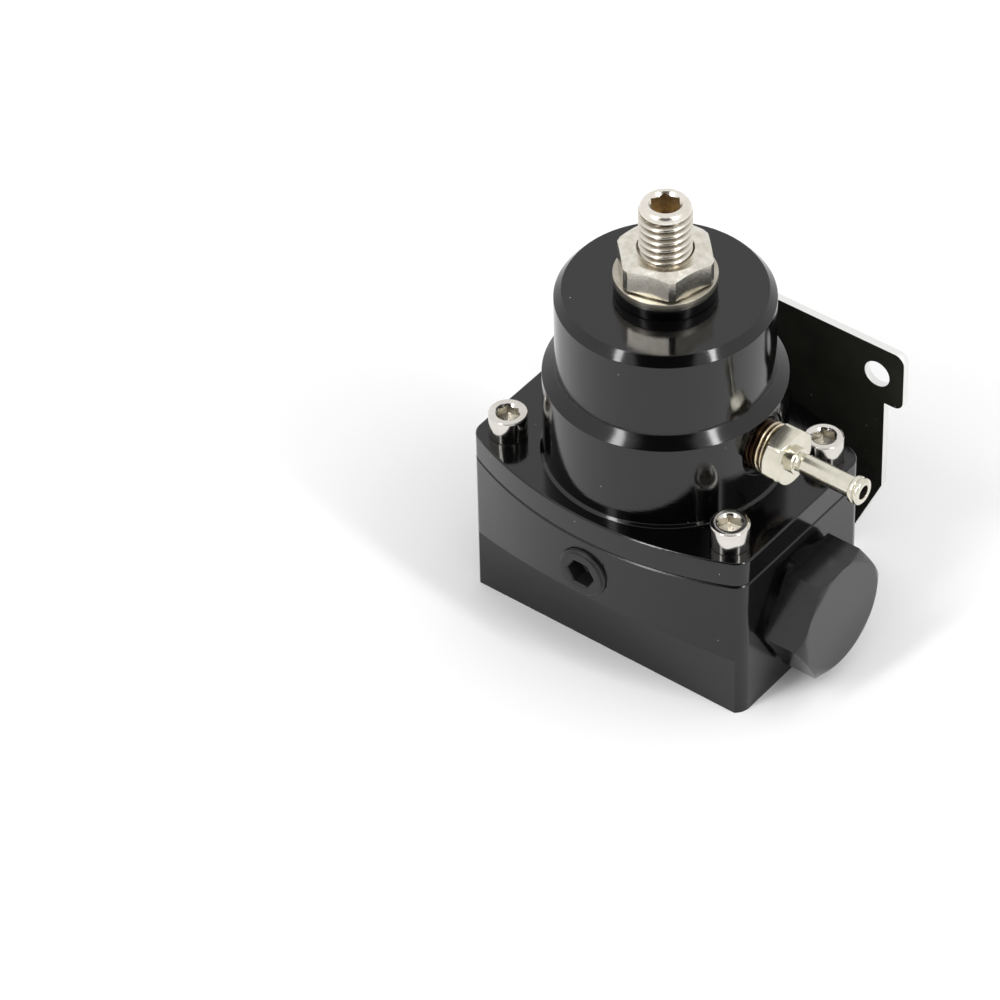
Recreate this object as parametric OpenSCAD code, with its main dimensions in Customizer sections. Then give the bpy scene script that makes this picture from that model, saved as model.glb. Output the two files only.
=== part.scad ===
// Adjustable bypass fuel pressure regulator: a machined base with side inlets and a return underneath,
// a turned bonnet over a diaphragm and spring, an adjusting screw with lock nut, and a sheet bracket.
// Millimetres. Origin on the bonnet axis at the underside of the base, +Z up, side plug towards +X,
// gauge port towards -Y.

/* [Base] */
// Width of the base and of the bonnet flange, port face to port face
body_w = 60.4; // [58:0.2:66]
// Depth of the base and flange across the middle of the curved sides
body_d = 49.2; // [48:0.2:54]
// Radius of the curved front and rear sides
side_r = 69; // [60:1:90]
// Radius of the upright corners
corner_r = 3.6; // [3:0.1:4.5]
// Height of the base up to the joint with the bonnet
base_h = 30.7; // [30:0.1:34]
// Depth across the flats milled low on the front and rear
flats_d = 36.4; // [36:0.2:40]
// Height of the milled flats
flats_h = 12.7; // [10:0.1:14]
// Slope of the overhang above the flats, in degrees
overhang_angle = 38; // [25:1:50]
// Edge break along the flange and the joint line
edge_break = 0.25; // [0.2:0.05:0.5]

/* [Ports] */
// Radius of the tapped side inlets
inlet_r = 8.7; // [8:0.1:9]
// Depth of the tapped side inlets
inlet_depth = 14; // [12:0.5:15]
// Height of the side inlets above the underside
inlet_z = 15.9; // [15.5:0.1:16.5]
// Radius of the drilled way from an inlet into the chamber
inlet_way_r = 3.2; // [2.5:0.1:3.4]
// Radius of the tapped return port underneath
return_r = 6.5; // [5.5:0.1:7]
// Depth of the tapped return port
return_depth = 9; // [8:0.5:9.5]
// Radius of the tapped gauge port
gauge_r = 5; // [4.5:0.1:5.2]
// Depth of the tapped gauge port
gauge_depth = 7.2; // [6:0.2:8]
// Distance of the gauge port's axis below the joint with the bonnet
gauge_drop = 7.2; // [6.7:0.1:8.2]
// Radius of the drilled way from the gauge port into the chamber
gauge_way_r = 2; // [1.5:0.1:3]

/* [Bonnet] */
// Thickness of the flange
flange_t = 5.6; // [5:0.1:7]
// Height of the relieved seam round the flange's underside
seam_h = 0.35; // [0.2:0.05:0.5]
// How far the seam is relieved from the outside inwards
seam_in = 1.4; // [1:0.1:1.8]
// Radius of the lower collar
collar_r = 22; // [21:0.1:23]
// Height of the lower collar above the flange
collar_h = 17.7; // [17:0.1:20]
// Height of the sloping shoulder above the collar
shoulder_h = 1.8; // [1:0.1:3]
// Radius of the upper cap
cap_r = 19.7; // [18.5:0.1:20.5]
// Height of the bonnet top above the flange
bonnet_h = 36.6; // [35:0.1:40]
// Height of the bevel round the top
bevel_h = 1.7; // [1:0.1:3]
// Width of the bevel round the top
bevel_w = 1.4; // [1:0.1:3]
// Small bevel where the collar meets the flange
collar_foot = 0.5; // [0.3:0.1:1]
// Thickness of the roof that the adjusting screw is tapped through
roof_t = 10; // [8:0.5:11]
// Radius of the bore round the spring
spring_bore_r = 13.5; // [13:0.1:14]
// Radius of the bore over the diaphragm
dome_r = 16.2; // [16:0.1:17]
// Height of the wide bore over the diaphragm
dome_h = 8; // [6:0.5:9]

/* [Flange screws] */
// Distance from the flange's ends to the flange screws
screw_edge_x = 5.6; // [5:0.1:6]
// Distance from the front and rear of the flange to the flange screws
screw_edge_y = 10.4; // [9.8:0.1:11]
// Radius of the flange screw thread
screw_r = 2; // [1.5:0.1:2.2]
// Length of the flange screws under the head
screw_len = 14; // [12:0.5:16]
// Radius of the flange screw heads
head_r = 3.6; // [3.2:0.1:3.9]
// Height of the flange screw heads
head_h = 4.9; // [4:0.1:5.5]
// Hex key size of the flange screws, across flats
head_key = 3.8; // [3:0.1:4]
// Depth of the hex sockets in the flange screws
head_key_depth = 2.2; // [1.5:0.1:2.5]

/* [Diaphragm and valve] */
// Radius of the chamber under the diaphragm
chamber_r = 15; // [14.5:0.1:15.4]
// Depth of the chamber under the diaphragm
chamber_depth = 17.7; // [17.3:0.1:17.9]
// Radius of the post in the chamber that carries the valve seat
post_r = 8; // [7.6:0.1:8.4]
// Radius of the diaphragm
diaphragm_r = 21.5; // [20.5:0.1:22]
// Thickness of the diaphragm
diaphragm_t = 0.8; // [0.6:0.1:1]
// Clearance on both sides of the diaphragm's rolled fold
fold_gap = 0.4; // [0.3:0.05:0.6]
// Thickness of the spring plate's rim round the spring
rim_t = 0.9; // [0.7:0.1:1.1]
// Thickness of the plates on both sides of the diaphragm
plate_t = 1.5; // [1.2:0.1:1.8]
// Height of the rim of the spring plate
rim_h = 1.6; // [1:0.1:2]
// Radius of the lower plate
lower_plate_r = 11; // [10:0.1:11.5]
// Radius of the valve disc
disc_r = 5.2; // [4.8:0.1:5.6]
// Thickness of the valve disc
disc_t = 2; // [1.5:0.1:2.5]
// Radius of the valve stem
stem_r = 2; // [1.8:0.1:2.2]
// Radius of the stem's neck between disc and plate
neck_r = 3.2; // [3:0.1:3.6]
// Length of that neck
neck_l = 1; // [0.6:0.1:1.4]
// Size of the stem nut across flats
stem_nut_af = 7; // [6.5:0.5:7.5]
// Height of the stem nut
stem_nut_h = 3.2; // [2.8:0.1:3.6]
// Radius of the bore through the valve seat
seat_bore_r = 3; // [2.5:0.1:3.2]
// Radius of the seat insert in the post
seat_body_r = 5.2; // [5:0.1:5.5]
// Length of the seat insert inside the post
seat_body_h = 6; // [5:0.1:6.5]
// Radius of the seat flange
seat_flange_r = 7.2; // [7:0.1:7.5]
// Thickness of the seat flange
seat_flange_t = 2; // [1.5:0.1:2.5]
// Height of the sealing lip above the seat flange
lip_h = 1.4; // [1:0.1:1.6]
// Width of the sealing lip at its top
lip_w = 0.8; // [0.6:0.1:1.2]

/* [Spring and adjuster] */
// Mean radius of the spring
coil_r = 9.4; // [9:0.1:9.6]
// Radius of the spring wire
wire_r = 1.25; // [1:0.05:1.3]
// Turns of the spring, closed end turns included
coil_turns = 5; // [4.5:0.5:5]
// Radius of the adjusting screw
adjuster_r = 4.8; // [4.5:0.1:5.5]
// Length of the adjusting screw
adjuster_len = 33.3; // [33:0.1:35]
// Height of the adjusting screw above the bonnet
adjuster_stand = 19.3; // [19:0.1:21]
// Radius of the flat at the rounded upper end of the adjusting screw
adjuster_tip_r = 3.6; // [3.4:0.1:4]
// Height of the rounded upper end of the adjusting screw
adjuster_tip_h = 2.1; // [1.6:0.1:2.4]
// Hex key size of the adjusting screw, across flats
adjuster_key = 5; // [4:0.5:5]
// Depth of the hex socket in the adjusting screw
adjuster_key_depth = 5.5; // [4:0.5:7]
// Radius of the thrust ball under the adjusting screw
ball_r = 2.5; // [2:0.1:2.8]
// How far the button on top of the spring reaches past the coils
button_lip = 1.35; // [0.8:0.05:1.6]
// Thickness of the button
button_t = 3; // [2.5:0.1:3.5]
// Radius of the boss that holds the ball
button_boss_r = 4.6; // [4.2:0.1:5]
// Depth of the button's spigot inside the spring
spigot_h = 2.4; // [1.5:0.1:3]
// Size of the lock nut across flats
nut_af = 16; // [15:0.5:17]
// Height of the lock nut
nut_h = 5.6; // [5:0.1:7]
// Turn of the lock nut's corners about the axis
nut_turn = 13.5; // [0:0.5:60]
// Turn of the key sockets in the adjusting screw and the flange screws
key_turn = 8.7; // [0:0.1:60]
// Radius of the washer
washer_r = 9.3; // [9:0.1:10]
// Thickness of the washer
washer_t = 1.5; // [1:0.05:1.8]
// Radius of the rubber seal under the washer
seal_r = 9.2; // [8.5:0.1:10]
// Thickness of the rubber seal
seal_t = 2.3; // [2:0.1:3.5]

/* [Plugs and vacuum nipple] */
// Size of the side plug across flats
plug_af = 22.3; // [21:0.1:24]
// Turn of the side plug's hexagon about its axis
plug_turn = 30; // [0:1:60]
// Length of the side plug's hexagon
plug_hex_l = 7.8; // [6:0.1:9]
// Thickness of the round face behind the hexagon
plug_collar_t = 1.1; // [0.8:0.1:2]
// Length of the side plug's thread
plug_thread_l = 10; // [8:0.5:11]
// Radius of the rubber ring's section
ring_r = 0.85; // [0.7:0.05:0.95]
// How far the gauge port plug stands out
gauge_plug_stand = 1; // [0.5:0.1:2]
// Length of the gauge port plug
gauge_plug_l = 7; // [6:0.2:7.5]
// Hex key size of the gauge port plug, across flats
gauge_key = 5; // [4:0.5:5]
// Depth of the hex socket in the gauge port plug
gauge_key_depth = 3.5; // [3:0.1:4]
// Height of the vacuum nipple above the flange
nipple_z = 11.4; // [10:0.1:12]
// Radius of the nipple's thread
nipple_thread_r = 4.9; // [4:0.1:5]
// Radius of the round face cut into the collar for the nipple
spot_r = 5.9; // [5.5:0.1:6.1]
// Depth of that face at the middle of the collar's curve
spot_depth = 1.2; // [0.9:0.1:1.6]
// Gap between the collar and the nipple's hexagon
nipple_gap = 2.6; // [2:0.1:4]
// Size of the nipple's hexagon across flats
nipple_af = 10.2; // [9.8:0.1:12]
// Length of the nipple's hexagon
nipple_hex_l = 3.7; // [3:0.1:7]
// Radius of the hose tail
tail_r = 1.95; // [1.8:0.05:2.4]
// Length of the hose tail with its beads
tail_l = 14.8; // [12:0.2:18]
// Radius of the two beads at the end of the hose tail
bead_r = 2.5; // [2.5:0.05:3]
// Length of each bead
bead_l = 0.9; // [0.6:0.1:1.2]
// Gap between the beads
bead_gap = 0.4; // [0.3:0.1:0.6]
// Length of the small collar behind the hexagon, and of the relief next to it
tail_collar_l = 1; // [0.6:0.1:1.5]
// Turn of the nipple's hexagon about its axis
nipple_turn = 42.7; // [0:0.1:60]
// Radius of the bore through the nipple
nipple_bore_r = 1.15; // [0.8:0.05:1.4]

/* [Bracket] */
// Thickness of the bracket sheet
sheet_t = 1.5; // [1.2:0.1:1.8]
// Inner radius of the bend
bend_r = 1.5; // [1:0.1:2.5]
// Distance of the upright sheet behind the axis
sheet_y = 31; // [29:0.5:34]
// How far the ears reach past the ends of the base
ear_out = -0.2; // [-1:0.1:3]
// Height of the top edge above the underside
ear_top = 50.2; // [48:0.2:54]
// Height of the ears
ear_h = 12.5; // [11:0.5:14]
// Radius of the ears' corners
ear_r = 2; // [1.5:0.1:3]
// How far each ear stands out past the upright sheet below it
ear_reach = 4; // [3:0.5:6]
// Height at which the sheet starts to narrow
taper_z = 17.7; // [14:0.1:20]
// Width of the foot
foot_w = 39; // [38:0.5:42]
// Distance from the axis to the front edge of the foot
foot_front = 5; // [4:0.5:6]
// Radius of the round cut in the foot that clears the return port
foot_notch_r = 13; // [12:0.2:13.4]
// Clearance under the foot, above the surface that the base stands on
foot_lift = 0.2; // [0.1:0.05:0.4]
// Radius of the holes in the ears
ear_hole_r = 2.7; // [2.2:0.1:3]
// Distance of the holes from the ends of the ears
ear_hole_inset = 5.75; // [5:0.25:6.5]
// Distance of the holes below the top edge
ear_hole_drop = 6.4; // [5.5:0.1:7]
// Distance of the foot screws from the sides of the foot
foot_screw_inset = 5; // [4.5:0.1:5.5]
// Distance of the foot screws behind the axis
foot_screw_y = 12; // [11:0.5:13]
// Radius of the foot screws' thread
foot_screw_r = 1.5; // [1.2:0.1:1.7]
// Radius of the foot screws' countersunk heads
foot_head_r = 2.7; // [2.5:0.1:2.8]
// Hex key size of the foot screws, across flats
foot_key = 2; // [1.5:0.1:2]
// Depth of the hex sockets in the foot screws
foot_key_depth = 1; // [0.8:0.1:1.2]
// Length of the foot screws
foot_screw_len = 8; // [6:0.5:9]

/* [Fits] */
// Radial clearance round threads and turned pieces
thread_fit = 0.05; // [0.02:0.01:0.1]
// Radial clearance round pieces that only have to pass
loose_fit = 0.25; // [0.2:0.05:0.4]
// Clearance round the bracket's foot in its pocket
pocket_fit = 0.3; // [0.2:0.05:0.5]

/* [Hidden] */
$fn = 96;

// A cut runs this far past the face that it opens
over = 1;
// Cuts that meet inside the metal overlap by this much
lap = 0.25;
// A round corner stands past its sides by this much, so that it crosses them at a clear angle
corner_lap = 0.02;
// Edges broken on small turned and hexagonal pieces
small_break = 0.4;
// Slope of a drill's point, in degrees
drill_angle = 31;
// Slope of the corner bevels on nuts and hexagons
hex_bevel_angle = 30;
// Height of the wire's centre at a ground spring end, as a share of the wire's radius
ground_share = 0.3;

arc_offset = side_r - body_d / 2;
corner_x = body_w / 2 - corner_r;
corner_y = arc_offset - sqrt(pow(side_r - corner_r, 2) - pow(corner_x, 2));

flange_top = base_h + flange_t;
collar_top = flange_top + collar_h;
cap_foot = collar_top + shoulder_h;
cap_top = flange_top + bonnet_h;
roof_z = cap_top - roof_t;

// Diaphragm stack, from its clamped underside
clamp_z = base_h - diaphragm_t;
plate_top = base_h + plate_t;
stem_top = plate_top + stem_nut_h + small_break;
rim_in = coil_r + wire_r + loose_fit;
plate_r = rim_in + rim_t;
fold_mid = (plate_r + dome_r) / 2;
fold_r = (dome_r - plate_r) / 2 - fold_gap;

// Valve and seat, from the lower plate down
chamber_floor = clamp_z - chamber_depth;
chamber_mid = (post_r + chamber_r) / 2;
neck_top = clamp_z - plate_t;
lip_z = neck_top - neck_l - disc_r + neck_r - disc_t;
post_top = lip_z - lip_h - seat_flange_t;
seat_foot = post_top - seat_body_h;
gauge_z = base_h - gauge_drop;
seat_ring_r = (seat_flange_r - seat_body_r) / 4;
seat_ring_mid = seat_body_r + seat_ring_r + thread_fit;

// Spring and adjuster, from the bonnet top
adjuster_top = cap_top + adjuster_stand;
adjuster_end = adjuster_top - adjuster_len;
ball_z = adjuster_end - ball_r - thread_fit / 2;
button_r = coil_r + wire_r + button_lip;
button_top = ball_z;
button_foot = ball_z - ball_r - button_t;
button_flat = button_foot + button_t;
seal_top = cap_top + seal_t;
nut_foot = seal_top + washer_t;

// Side plug, measured from the port face
port_face = body_w / 2;
ring_mid = inlet_r + ring_r;
ring_pocket_depth = 2 * (ring_r + thread_fit);
plug_hex_x = port_face + plug_collar_t;

// Vacuum nipple
nipple_axis_z = flange_top + nipple_z;
nipple_hex_x = collar_r + nipple_gap;
nipple_tail_x = nipple_hex_x + nipple_hex_l;
nipple_end_x = nipple_tail_x + tail_l;
nipple_root_x = spring_bore_r + over;

// Bracket
ear_w = body_w + 2 * ear_out;
waist_w = ear_w - 2 * ear_reach;
foot_top = foot_lift + sheet_t;
bend_z = foot_top + bend_r;
bend_y = sheet_y - bend_r;
foot_head_h = foot_head_r - foot_screw_r;

// Plain disc with a broken upper edge
module broken_disc(r, h, edge) {
    rotate_extrude() polygon([[0, 0], [r, 0], [r, h - edge], [r - edge, h], [0, h]]);
}

// Everything outside one round corner of the housing's plan, drawn in by an inset
module corner_waste(h, edge, inset) {
    reach = 3 * corner_r;
    towards_arc = [corner_x, corner_y - arc_offset] * reach / (side_r - corner_r);
    translate([corner_x, corner_y, 0]) difference() {
        translate([0, 0, -over]) linear_extrude(h + 2 * over)
            polygon([[0, 0], [reach, 0], [reach, 0] + towards_arc, towards_arc]);
        broken_disc(corner_r - inset + corner_lap, h, edge);
    }
}

// Block with the housing's plan drawn in by an inset: curved front and rear, flat ends, round corners and
// a broken upper edge
module plan_block(h, edge, inset) {
    half = body_w / 2 - inset;
    difference() {
        intersection() {
            translate([0, arc_offset, 0]) broken_disc(side_r - inset, h, edge);
            translate([0, -arc_offset, 0]) broken_disc(side_r - inset, h, edge);
            translate([0, body_d / 2, 0]) rotate([90, 0, 0]) linear_extrude(body_d) polygon([
                [-half, 0], [half, 0], [half, h - edge], [half - edge, h], [edge - half, h], [-half, h - edge]
            ]);
        }
        for (sx = [0, 1], sy = [0, 1]) mirror([sx, 0, 0]) mirror([0, sy, 0]) corner_waste(h, edge, inset);
    }
}

// Side view of the base: flats low down, then the sloping overhang up to the full depth
module flats_profile() {
    low = flats_d / 2;
    full = body_d / 2;
    slope_top = flats_h + (full - low) * tan(overhang_angle);
    polygon([
        [-low, 0], [low, 0], [low, flats_h], [full, slope_top], [full, base_h],
        [-full, base_h], [-full, slope_top], [-low, flats_h]
    ]);
}

// Places its children at the four flange screws
module at_flange_screws() {
    for (sx = [-1, 1], sy = [-1, 1])
        translate([sx * (body_w / 2 - screw_edge_x), sy * (body_d / 2 - screw_edge_y), 0]) children();
}

// Places its children at the two foot screws
module at_foot_screws() {
    for (sx = [-1, 1]) translate([sx * (foot_w / 2 - foot_screw_inset), foot_screw_y, 0]) children();
}

// Turns a piece that is drawn along +Z so that it points along +X at a height
module along_x(z) {
    translate([0, 0, z]) rotate([0, 90, 0]) children();
}

// Hexagonal bar with its corners bevelled at one end or both, flats across af
module hex_bar(af, h, bevel_foot) {
    r = af / sqrt(3);
    drop = (r - af / 2) * tan(hex_bevel_angle);
    foot = bevel_foot ? drop : 0;
    foot_r = bevel_foot ? af / 2 : r;
    intersection() {
        cylinder(r = r, h = h, $fn = 6);
        rotate_extrude() polygon([[0, 0], [foot_r, 0], [r, foot], [r, h - drop], [af / 2, h], [0, h]]);
    }
}

// Hexagonal key socket sunk from z = 0 downwards
module key_socket(af, depth) {
    point_h = af / 2 * tan(drill_angle);
    translate([0, 0, -depth]) cylinder(r = af / sqrt(3), h = depth + over, $fn = 6);
    translate([0, 0, -depth - point_h]) cylinder(r1 = 0, r2 = af / 2, h = point_h + lap);
}

// Plan of the bracket's foot, with the round cut for the return port, grown by a margin
module foot_plan(margin, rear) {
    difference() {
        translate([-foot_w / 2 - margin, foot_front - margin])
            square([foot_w + 2 * margin, rear - foot_front + margin]);
        circle(r = foot_notch_r - margin);
    }
}

module base_body() {
    color("#202124") difference() {
        intersection() {
            plan_block(base_h, edge_break, 0);
            translate([-body_w / 2, 0, 0]) rotate([90, 0, 90]) linear_extrude(body_w) flats_profile();
        }
        rotate_extrude() polygon([
            [0, post_top], [post_r, post_top], [post_r, chamber_floor], [chamber_r, chamber_floor],
            [chamber_r, clamp_z + lap], [0, clamp_z + lap]
        ]);
        translate([0, 0, clamp_z]) cylinder(r = diaphragm_r + loose_fit, h = diaphragm_t + over);
        inlet_cuts();
        mirror([1, 0, 0]) inlet_cuts();
        gauge_cuts();
        return_cuts();
        at_flange_screws() translate([0, 0, flange_top - screw_len - over])
            cylinder(r = screw_r + thread_fit, h = screw_len + over);
        translate([0, 0, -over]) linear_extrude(over + foot_top) foot_plan(pocket_fit, body_d / 2);
        at_foot_screws() cylinder(r = foot_screw_r + thread_fit, h = foot_lift + foot_screw_len + over);
    }
}

// Tapped inlet with the pocket for its sealing ring and the way into the chamber
module inlet_cuts() {
    along_x(inlet_z) {
        translate([0, 0, port_face - inlet_depth]) cylinder(r = inlet_r, h = inlet_depth + over);
        translate([0, 0, port_face - ring_pocket_depth])
            cylinder(r = inlet_r + 2 * ring_r + thread_fit, h = ring_pocket_depth + over);
        translate([0, 0, chamber_mid])
            cylinder(r = inlet_way_r, h = port_face - inlet_depth - chamber_mid + over);
    }
}

// Tapped gauge port and the way into the chamber
module gauge_cuts() {
    translate([0, 0, gauge_z]) rotate([90, 0, 0]) {
        translate([0, 0, body_d / 2 - gauge_depth]) cylinder(r = gauge_r, h = gauge_depth + over);
        translate([0, 0, chamber_mid])
            cylinder(r = gauge_way_r, h = body_d / 2 - gauge_depth - chamber_mid + over);
    }
}

// Tapped return port, its drill point, and the bore and ring groove for the seat in the post
module return_cuts() {
    groove_h = 2 * seat_ring_r + thread_fit;
    translate([0, 0, -over]) cylinder(r = return_r, h = return_depth + over);
    translate([0, 0, return_depth]) cylinder(r1 = return_r, r2 = 0, h = return_r * tan(drill_angle));
    translate([0, 0, return_depth]) cylinder(r = seat_bore_r, h = post_top - return_depth);
    translate([0, 0, seat_foot]) cylinder(r = seat_body_r, h = seat_body_h + lap);
    translate([0, 0, post_top - groove_h])
        cylinder(r = seat_body_r + 2 * (seat_ring_r + thread_fit), h = groove_h + lap);
}

module bonnet() {
    color("#151617") difference() {
        union() {
            translate([0, 0, base_h]) plan_block(flange_t - edge_break, edge_break, seam_in);
            translate([0, 0, base_h + seam_h]) plan_block(flange_t - seam_h, edge_break, 0);
            rotate_extrude() polygon([
                [0, flange_top - over], [collar_r + collar_foot, flange_top - over],
                [collar_r + collar_foot, flange_top], [collar_r, flange_top + collar_foot],
                [collar_r, collar_top], [cap_r, cap_foot], [cap_r, cap_top - bevel_h],
                [cap_r - bevel_w, cap_top], [0, cap_top]
            ]);
        }
        rotate_extrude() polygon([
            [0, base_h - over], [dome_r, base_h - over], [dome_r, base_h + dome_h],
            [spring_bore_r, base_h + dome_h + dome_r - spring_bore_r], [spring_bore_r, roof_z], [0, roof_z]
        ]);
        translate([0, 0, roof_z - over]) cylinder(r = adjuster_r + thread_fit, h = roof_t + 2 * over);
        at_flange_screws() translate([0, 0, base_h - over])
            cylinder(r = screw_r + loose_fit, h = flange_t + 2 * over);
        along_x(nipple_axis_z) translate([0, 0, spring_bore_r - over])
            cylinder(r = nipple_thread_r + thread_fit, h = collar_r - spring_bore_r + 2 * over);
        along_x(nipple_axis_z) translate([0, 0, collar_r - spot_depth])
            cylinder(r = spot_r, h = spot_depth + over);
    }
}

module flange_screws() {
    color("#d2d0cb") at_flange_screws() translate([0, 0, flange_top]) difference() {
        rotate_extrude() polygon([
            [0, -screw_len], [screw_r - small_break, -screw_len], [screw_r, small_break - screw_len],
            [screw_r, 0], [head_r, 0], [head_r, head_h - small_break], [head_r - small_break, head_h],
            [0, head_h]
        ]);
        translate([0, 0, head_h]) rotate(key_turn) key_socket(head_key, head_key_depth);
    }
}

// Rubberised disc, clamped at its rim, with a rolled fold round the plates
module diaphragm() {
    color("#4a3b32") rotate_extrude() {
        translate([stem_r + loose_fit, clamp_z])
            square([fold_mid - fold_r + diaphragm_t / 2 - stem_r - loose_fit, diaphragm_t]);
        translate([fold_mid + fold_r - diaphragm_t / 2, clamp_z])
            square([diaphragm_r - fold_mid - fold_r + diaphragm_t / 2, diaphragm_t]);
        translate([fold_mid, clamp_z]) intersection() {
            difference() {
                circle(r = fold_r);
                circle(r = fold_r - diaphragm_t);
            }
            translate([-fold_r, 0]) square([2 * fold_r, fold_r]);
        }
    }
}

// Cup on the diaphragm that carries the spring
module spring_plate() {
    color("#b9bcc0") rotate_extrude() polygon([
        [stem_r + loose_fit, base_h], [plate_r, base_h], [plate_r, plate_top + rim_h],
        [rim_in + small_break, plate_top + rim_h], [rim_in, plate_top + rim_h - small_break],
        [rim_in, plate_top], [stem_r + loose_fit, plate_top]
    ]);
}

// Backing plate under the diaphragm
module lower_plate() {
    color("#b9bcc0") rotate_extrude() polygon([
        [stem_r + loose_fit, neck_top], [lower_plate_r - small_break, neck_top],
        [lower_plate_r, neck_top + small_break], [lower_plate_r, clamp_z], [stem_r + loose_fit, clamp_z]
    ]);
}

// Valve disc with the stem that holds the two plates to the diaphragm
module valve_poppet() {
    color("#c9b27a") rotate_extrude() polygon([
        [0, lip_z], [disc_r - small_break, lip_z], [disc_r, lip_z + small_break], [disc_r, lip_z + disc_t],
        [neck_r, lip_z + disc_t + disc_r - neck_r], [neck_r, neck_top], [stem_r, neck_top],
        [stem_r, stem_top - small_break], [stem_r - small_break, stem_top], [0, stem_top]
    ]);
}

module stem_nut() {
    color("#c8c9c6") translate([0, 0, plate_top]) difference() {
        hex_bar(stem_nut_af, stem_nut_h, true);
        translate([0, 0, -over]) cylinder(r = stem_r + thread_fit, h = stem_nut_h + 2 * over);
    }
}

// Hard insert in the post, with the lip that the valve disc closes on
module valve_seat() {
    color("#b08d4a") rotate_extrude() polygon([
        [seat_bore_r, seat_foot], [seat_body_r - thread_fit, seat_foot], [seat_body_r - thread_fit, post_top],
        [seat_flange_r, post_top], [seat_flange_r, post_top + seat_flange_t],
        [seat_bore_r + lip_w + lip_h / 2, post_top + seat_flange_t], [seat_bore_r + lip_w, lip_z],
        [seat_bore_r, lip_z]
    ]);
}

module seat_ring() {
    color("#262626") translate([0, 0, post_top - seat_ring_r - thread_fit / 2])
        rotate_extrude() translate([seat_ring_mid, 0]) circle(r = seat_ring_r - thread_fit / 2, $fn = 32);
}

// Height of the wire's centre along the spring: close end turns, even pitch between them
function coil_height(turn, length) =
    let (
        end_z = ground_share * wire_r,
        close_pitch = 2 * wire_r + thread_fit,
        rise = length - 2 * end_z,
        open_pitch = (rise - 2 * close_pitch) / (coil_turns - 2)
    )
    end_z + (turn < 1 ? close_pitch * turn
        : turn < coil_turns - 1 ? close_pitch + open_pitch * (turn - 1)
        : rise - close_pitch * (coil_turns - turn));

// Open-coiled spring with closed ends, ground flat where they bear on the plate and the button
module pressure_spring() {
    sides = 8;
    steps_per_turn = 24;
    length = button_foot - plate_top;
    steps = steps_per_turn * coil_turns;
    points = [
        for (i = [0:steps], k = [0:sides - 1])
            let (
                around = 360 * i / steps_per_turn,
                section = 360 * (k + 0.5) / sides,
                r = coil_r + wire_r * cos(section),
                z = coil_height(i / steps_per_turn, length) + wire_r * sin(section)
            )
            [r * cos(around), r * sin(around), z]
    ];
    walls = [
        for (i = [0:steps - 1], k = [0:sides - 1])
            let (a = i * sides + k, b = i * sides + (k + 1) % sides)
            [a, b, b + sides, a + sides]
    ];
    caps = [[for (k = [sides - 1:-1:0]) k], [for (k = [0:sides - 1]) steps * sides + k]];
    color("#a7a9ab") translate([0, 0, plate_top]) intersection() {
        polyhedron(points = points, faces = concat(walls, caps), convexity = 10);
        cylinder(r = 2 * coil_r, h = length);
    }
}

// Seat on top of the spring, with a cup for the thrust ball
module spring_button() {
    spigot_r = coil_r - wire_r - loose_fit;
    color("#b9bcc0") difference() {
        rotate_extrude() polygon([
            [0, button_foot - spigot_h], [spigot_r - small_break, button_foot - spigot_h],
            [spigot_r, button_foot - spigot_h + small_break], [spigot_r, button_foot],
            [button_r, button_foot], [button_r, button_flat - small_break],
            [button_r - small_break, button_flat], [button_boss_r, button_flat],
            [button_boss_r, button_top], [0, button_top]
        ]);
        translate([0, 0, ball_z]) sphere(r = ball_r + thread_fit);
    }
}

module thrust_ball() {
    color("#c5c8cb") translate([0, 0, ball_z]) sphere(r = ball_r);
}

// Set screw with a rounded, socketed upper end that presses on the ball below
module adjusting_screw() {
    shank_top = adjuster_top - adjuster_tip_h;
    arc_drop = (pow(adjuster_r, 2) - pow(adjuster_tip_r, 2) + pow(adjuster_tip_h, 2)) / (2 * adjuster_tip_h);
    arc_r = sqrt(pow(adjuster_tip_r, 2) + pow(arc_drop, 2));
    color("#cfccc6") difference() {
        rotate_extrude() {
            polygon([
                [0, adjuster_end], [adjuster_r - 2 * small_break, adjuster_end],
                [adjuster_r, adjuster_end + 2 * small_break], [adjuster_r, shank_top], [0, shank_top]
            ]);
            intersection() {
                translate([0, shank_top - lap]) square([adjuster_r, adjuster_tip_h + lap]);
                translate([0, adjuster_top - arc_drop]) circle(r = arc_r);
            }
        }
        translate([0, 0, adjuster_top]) rotate(key_turn) key_socket(adjuster_key, adjuster_key_depth);
    }
}

module adjuster_seal() {
    color("#0d0d0e") rotate_extrude() polygon([
        [adjuster_r + thread_fit, cap_top], [seal_r - small_break, cap_top], [seal_r, cap_top + small_break],
        [seal_r, seal_top - small_break], [seal_r - small_break, seal_top],
        [adjuster_r + thread_fit, seal_top]
    ]);
}

module lock_washer() {
    edge = small_break / 2;
    color("#d6d3cd") rotate_extrude() polygon([
        [adjuster_r + loose_fit, seal_top], [washer_r - edge, seal_top], [washer_r, seal_top + edge],
        [washer_r, nut_foot - edge], [washer_r - edge, nut_foot], [adjuster_r + loose_fit, nut_foot]
    ]);
}

module lock_nut() {
    mouth_r = adjuster_r + loose_fit;
    color("#d8d4cc") translate([0, 0, nut_foot]) difference() {
        rotate(nut_turn) hex_bar(nut_af, nut_h, true);
        translate([0, 0, -over]) cylinder(r = adjuster_r + thread_fit, h = nut_h + 2 * over);
        translate([0, 0, nut_h - mouth_r + adjuster_r])
            cylinder(r1 = adjuster_r, r2 = mouth_r + over, h = mouth_r - adjuster_r + over);
    }
}

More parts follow.
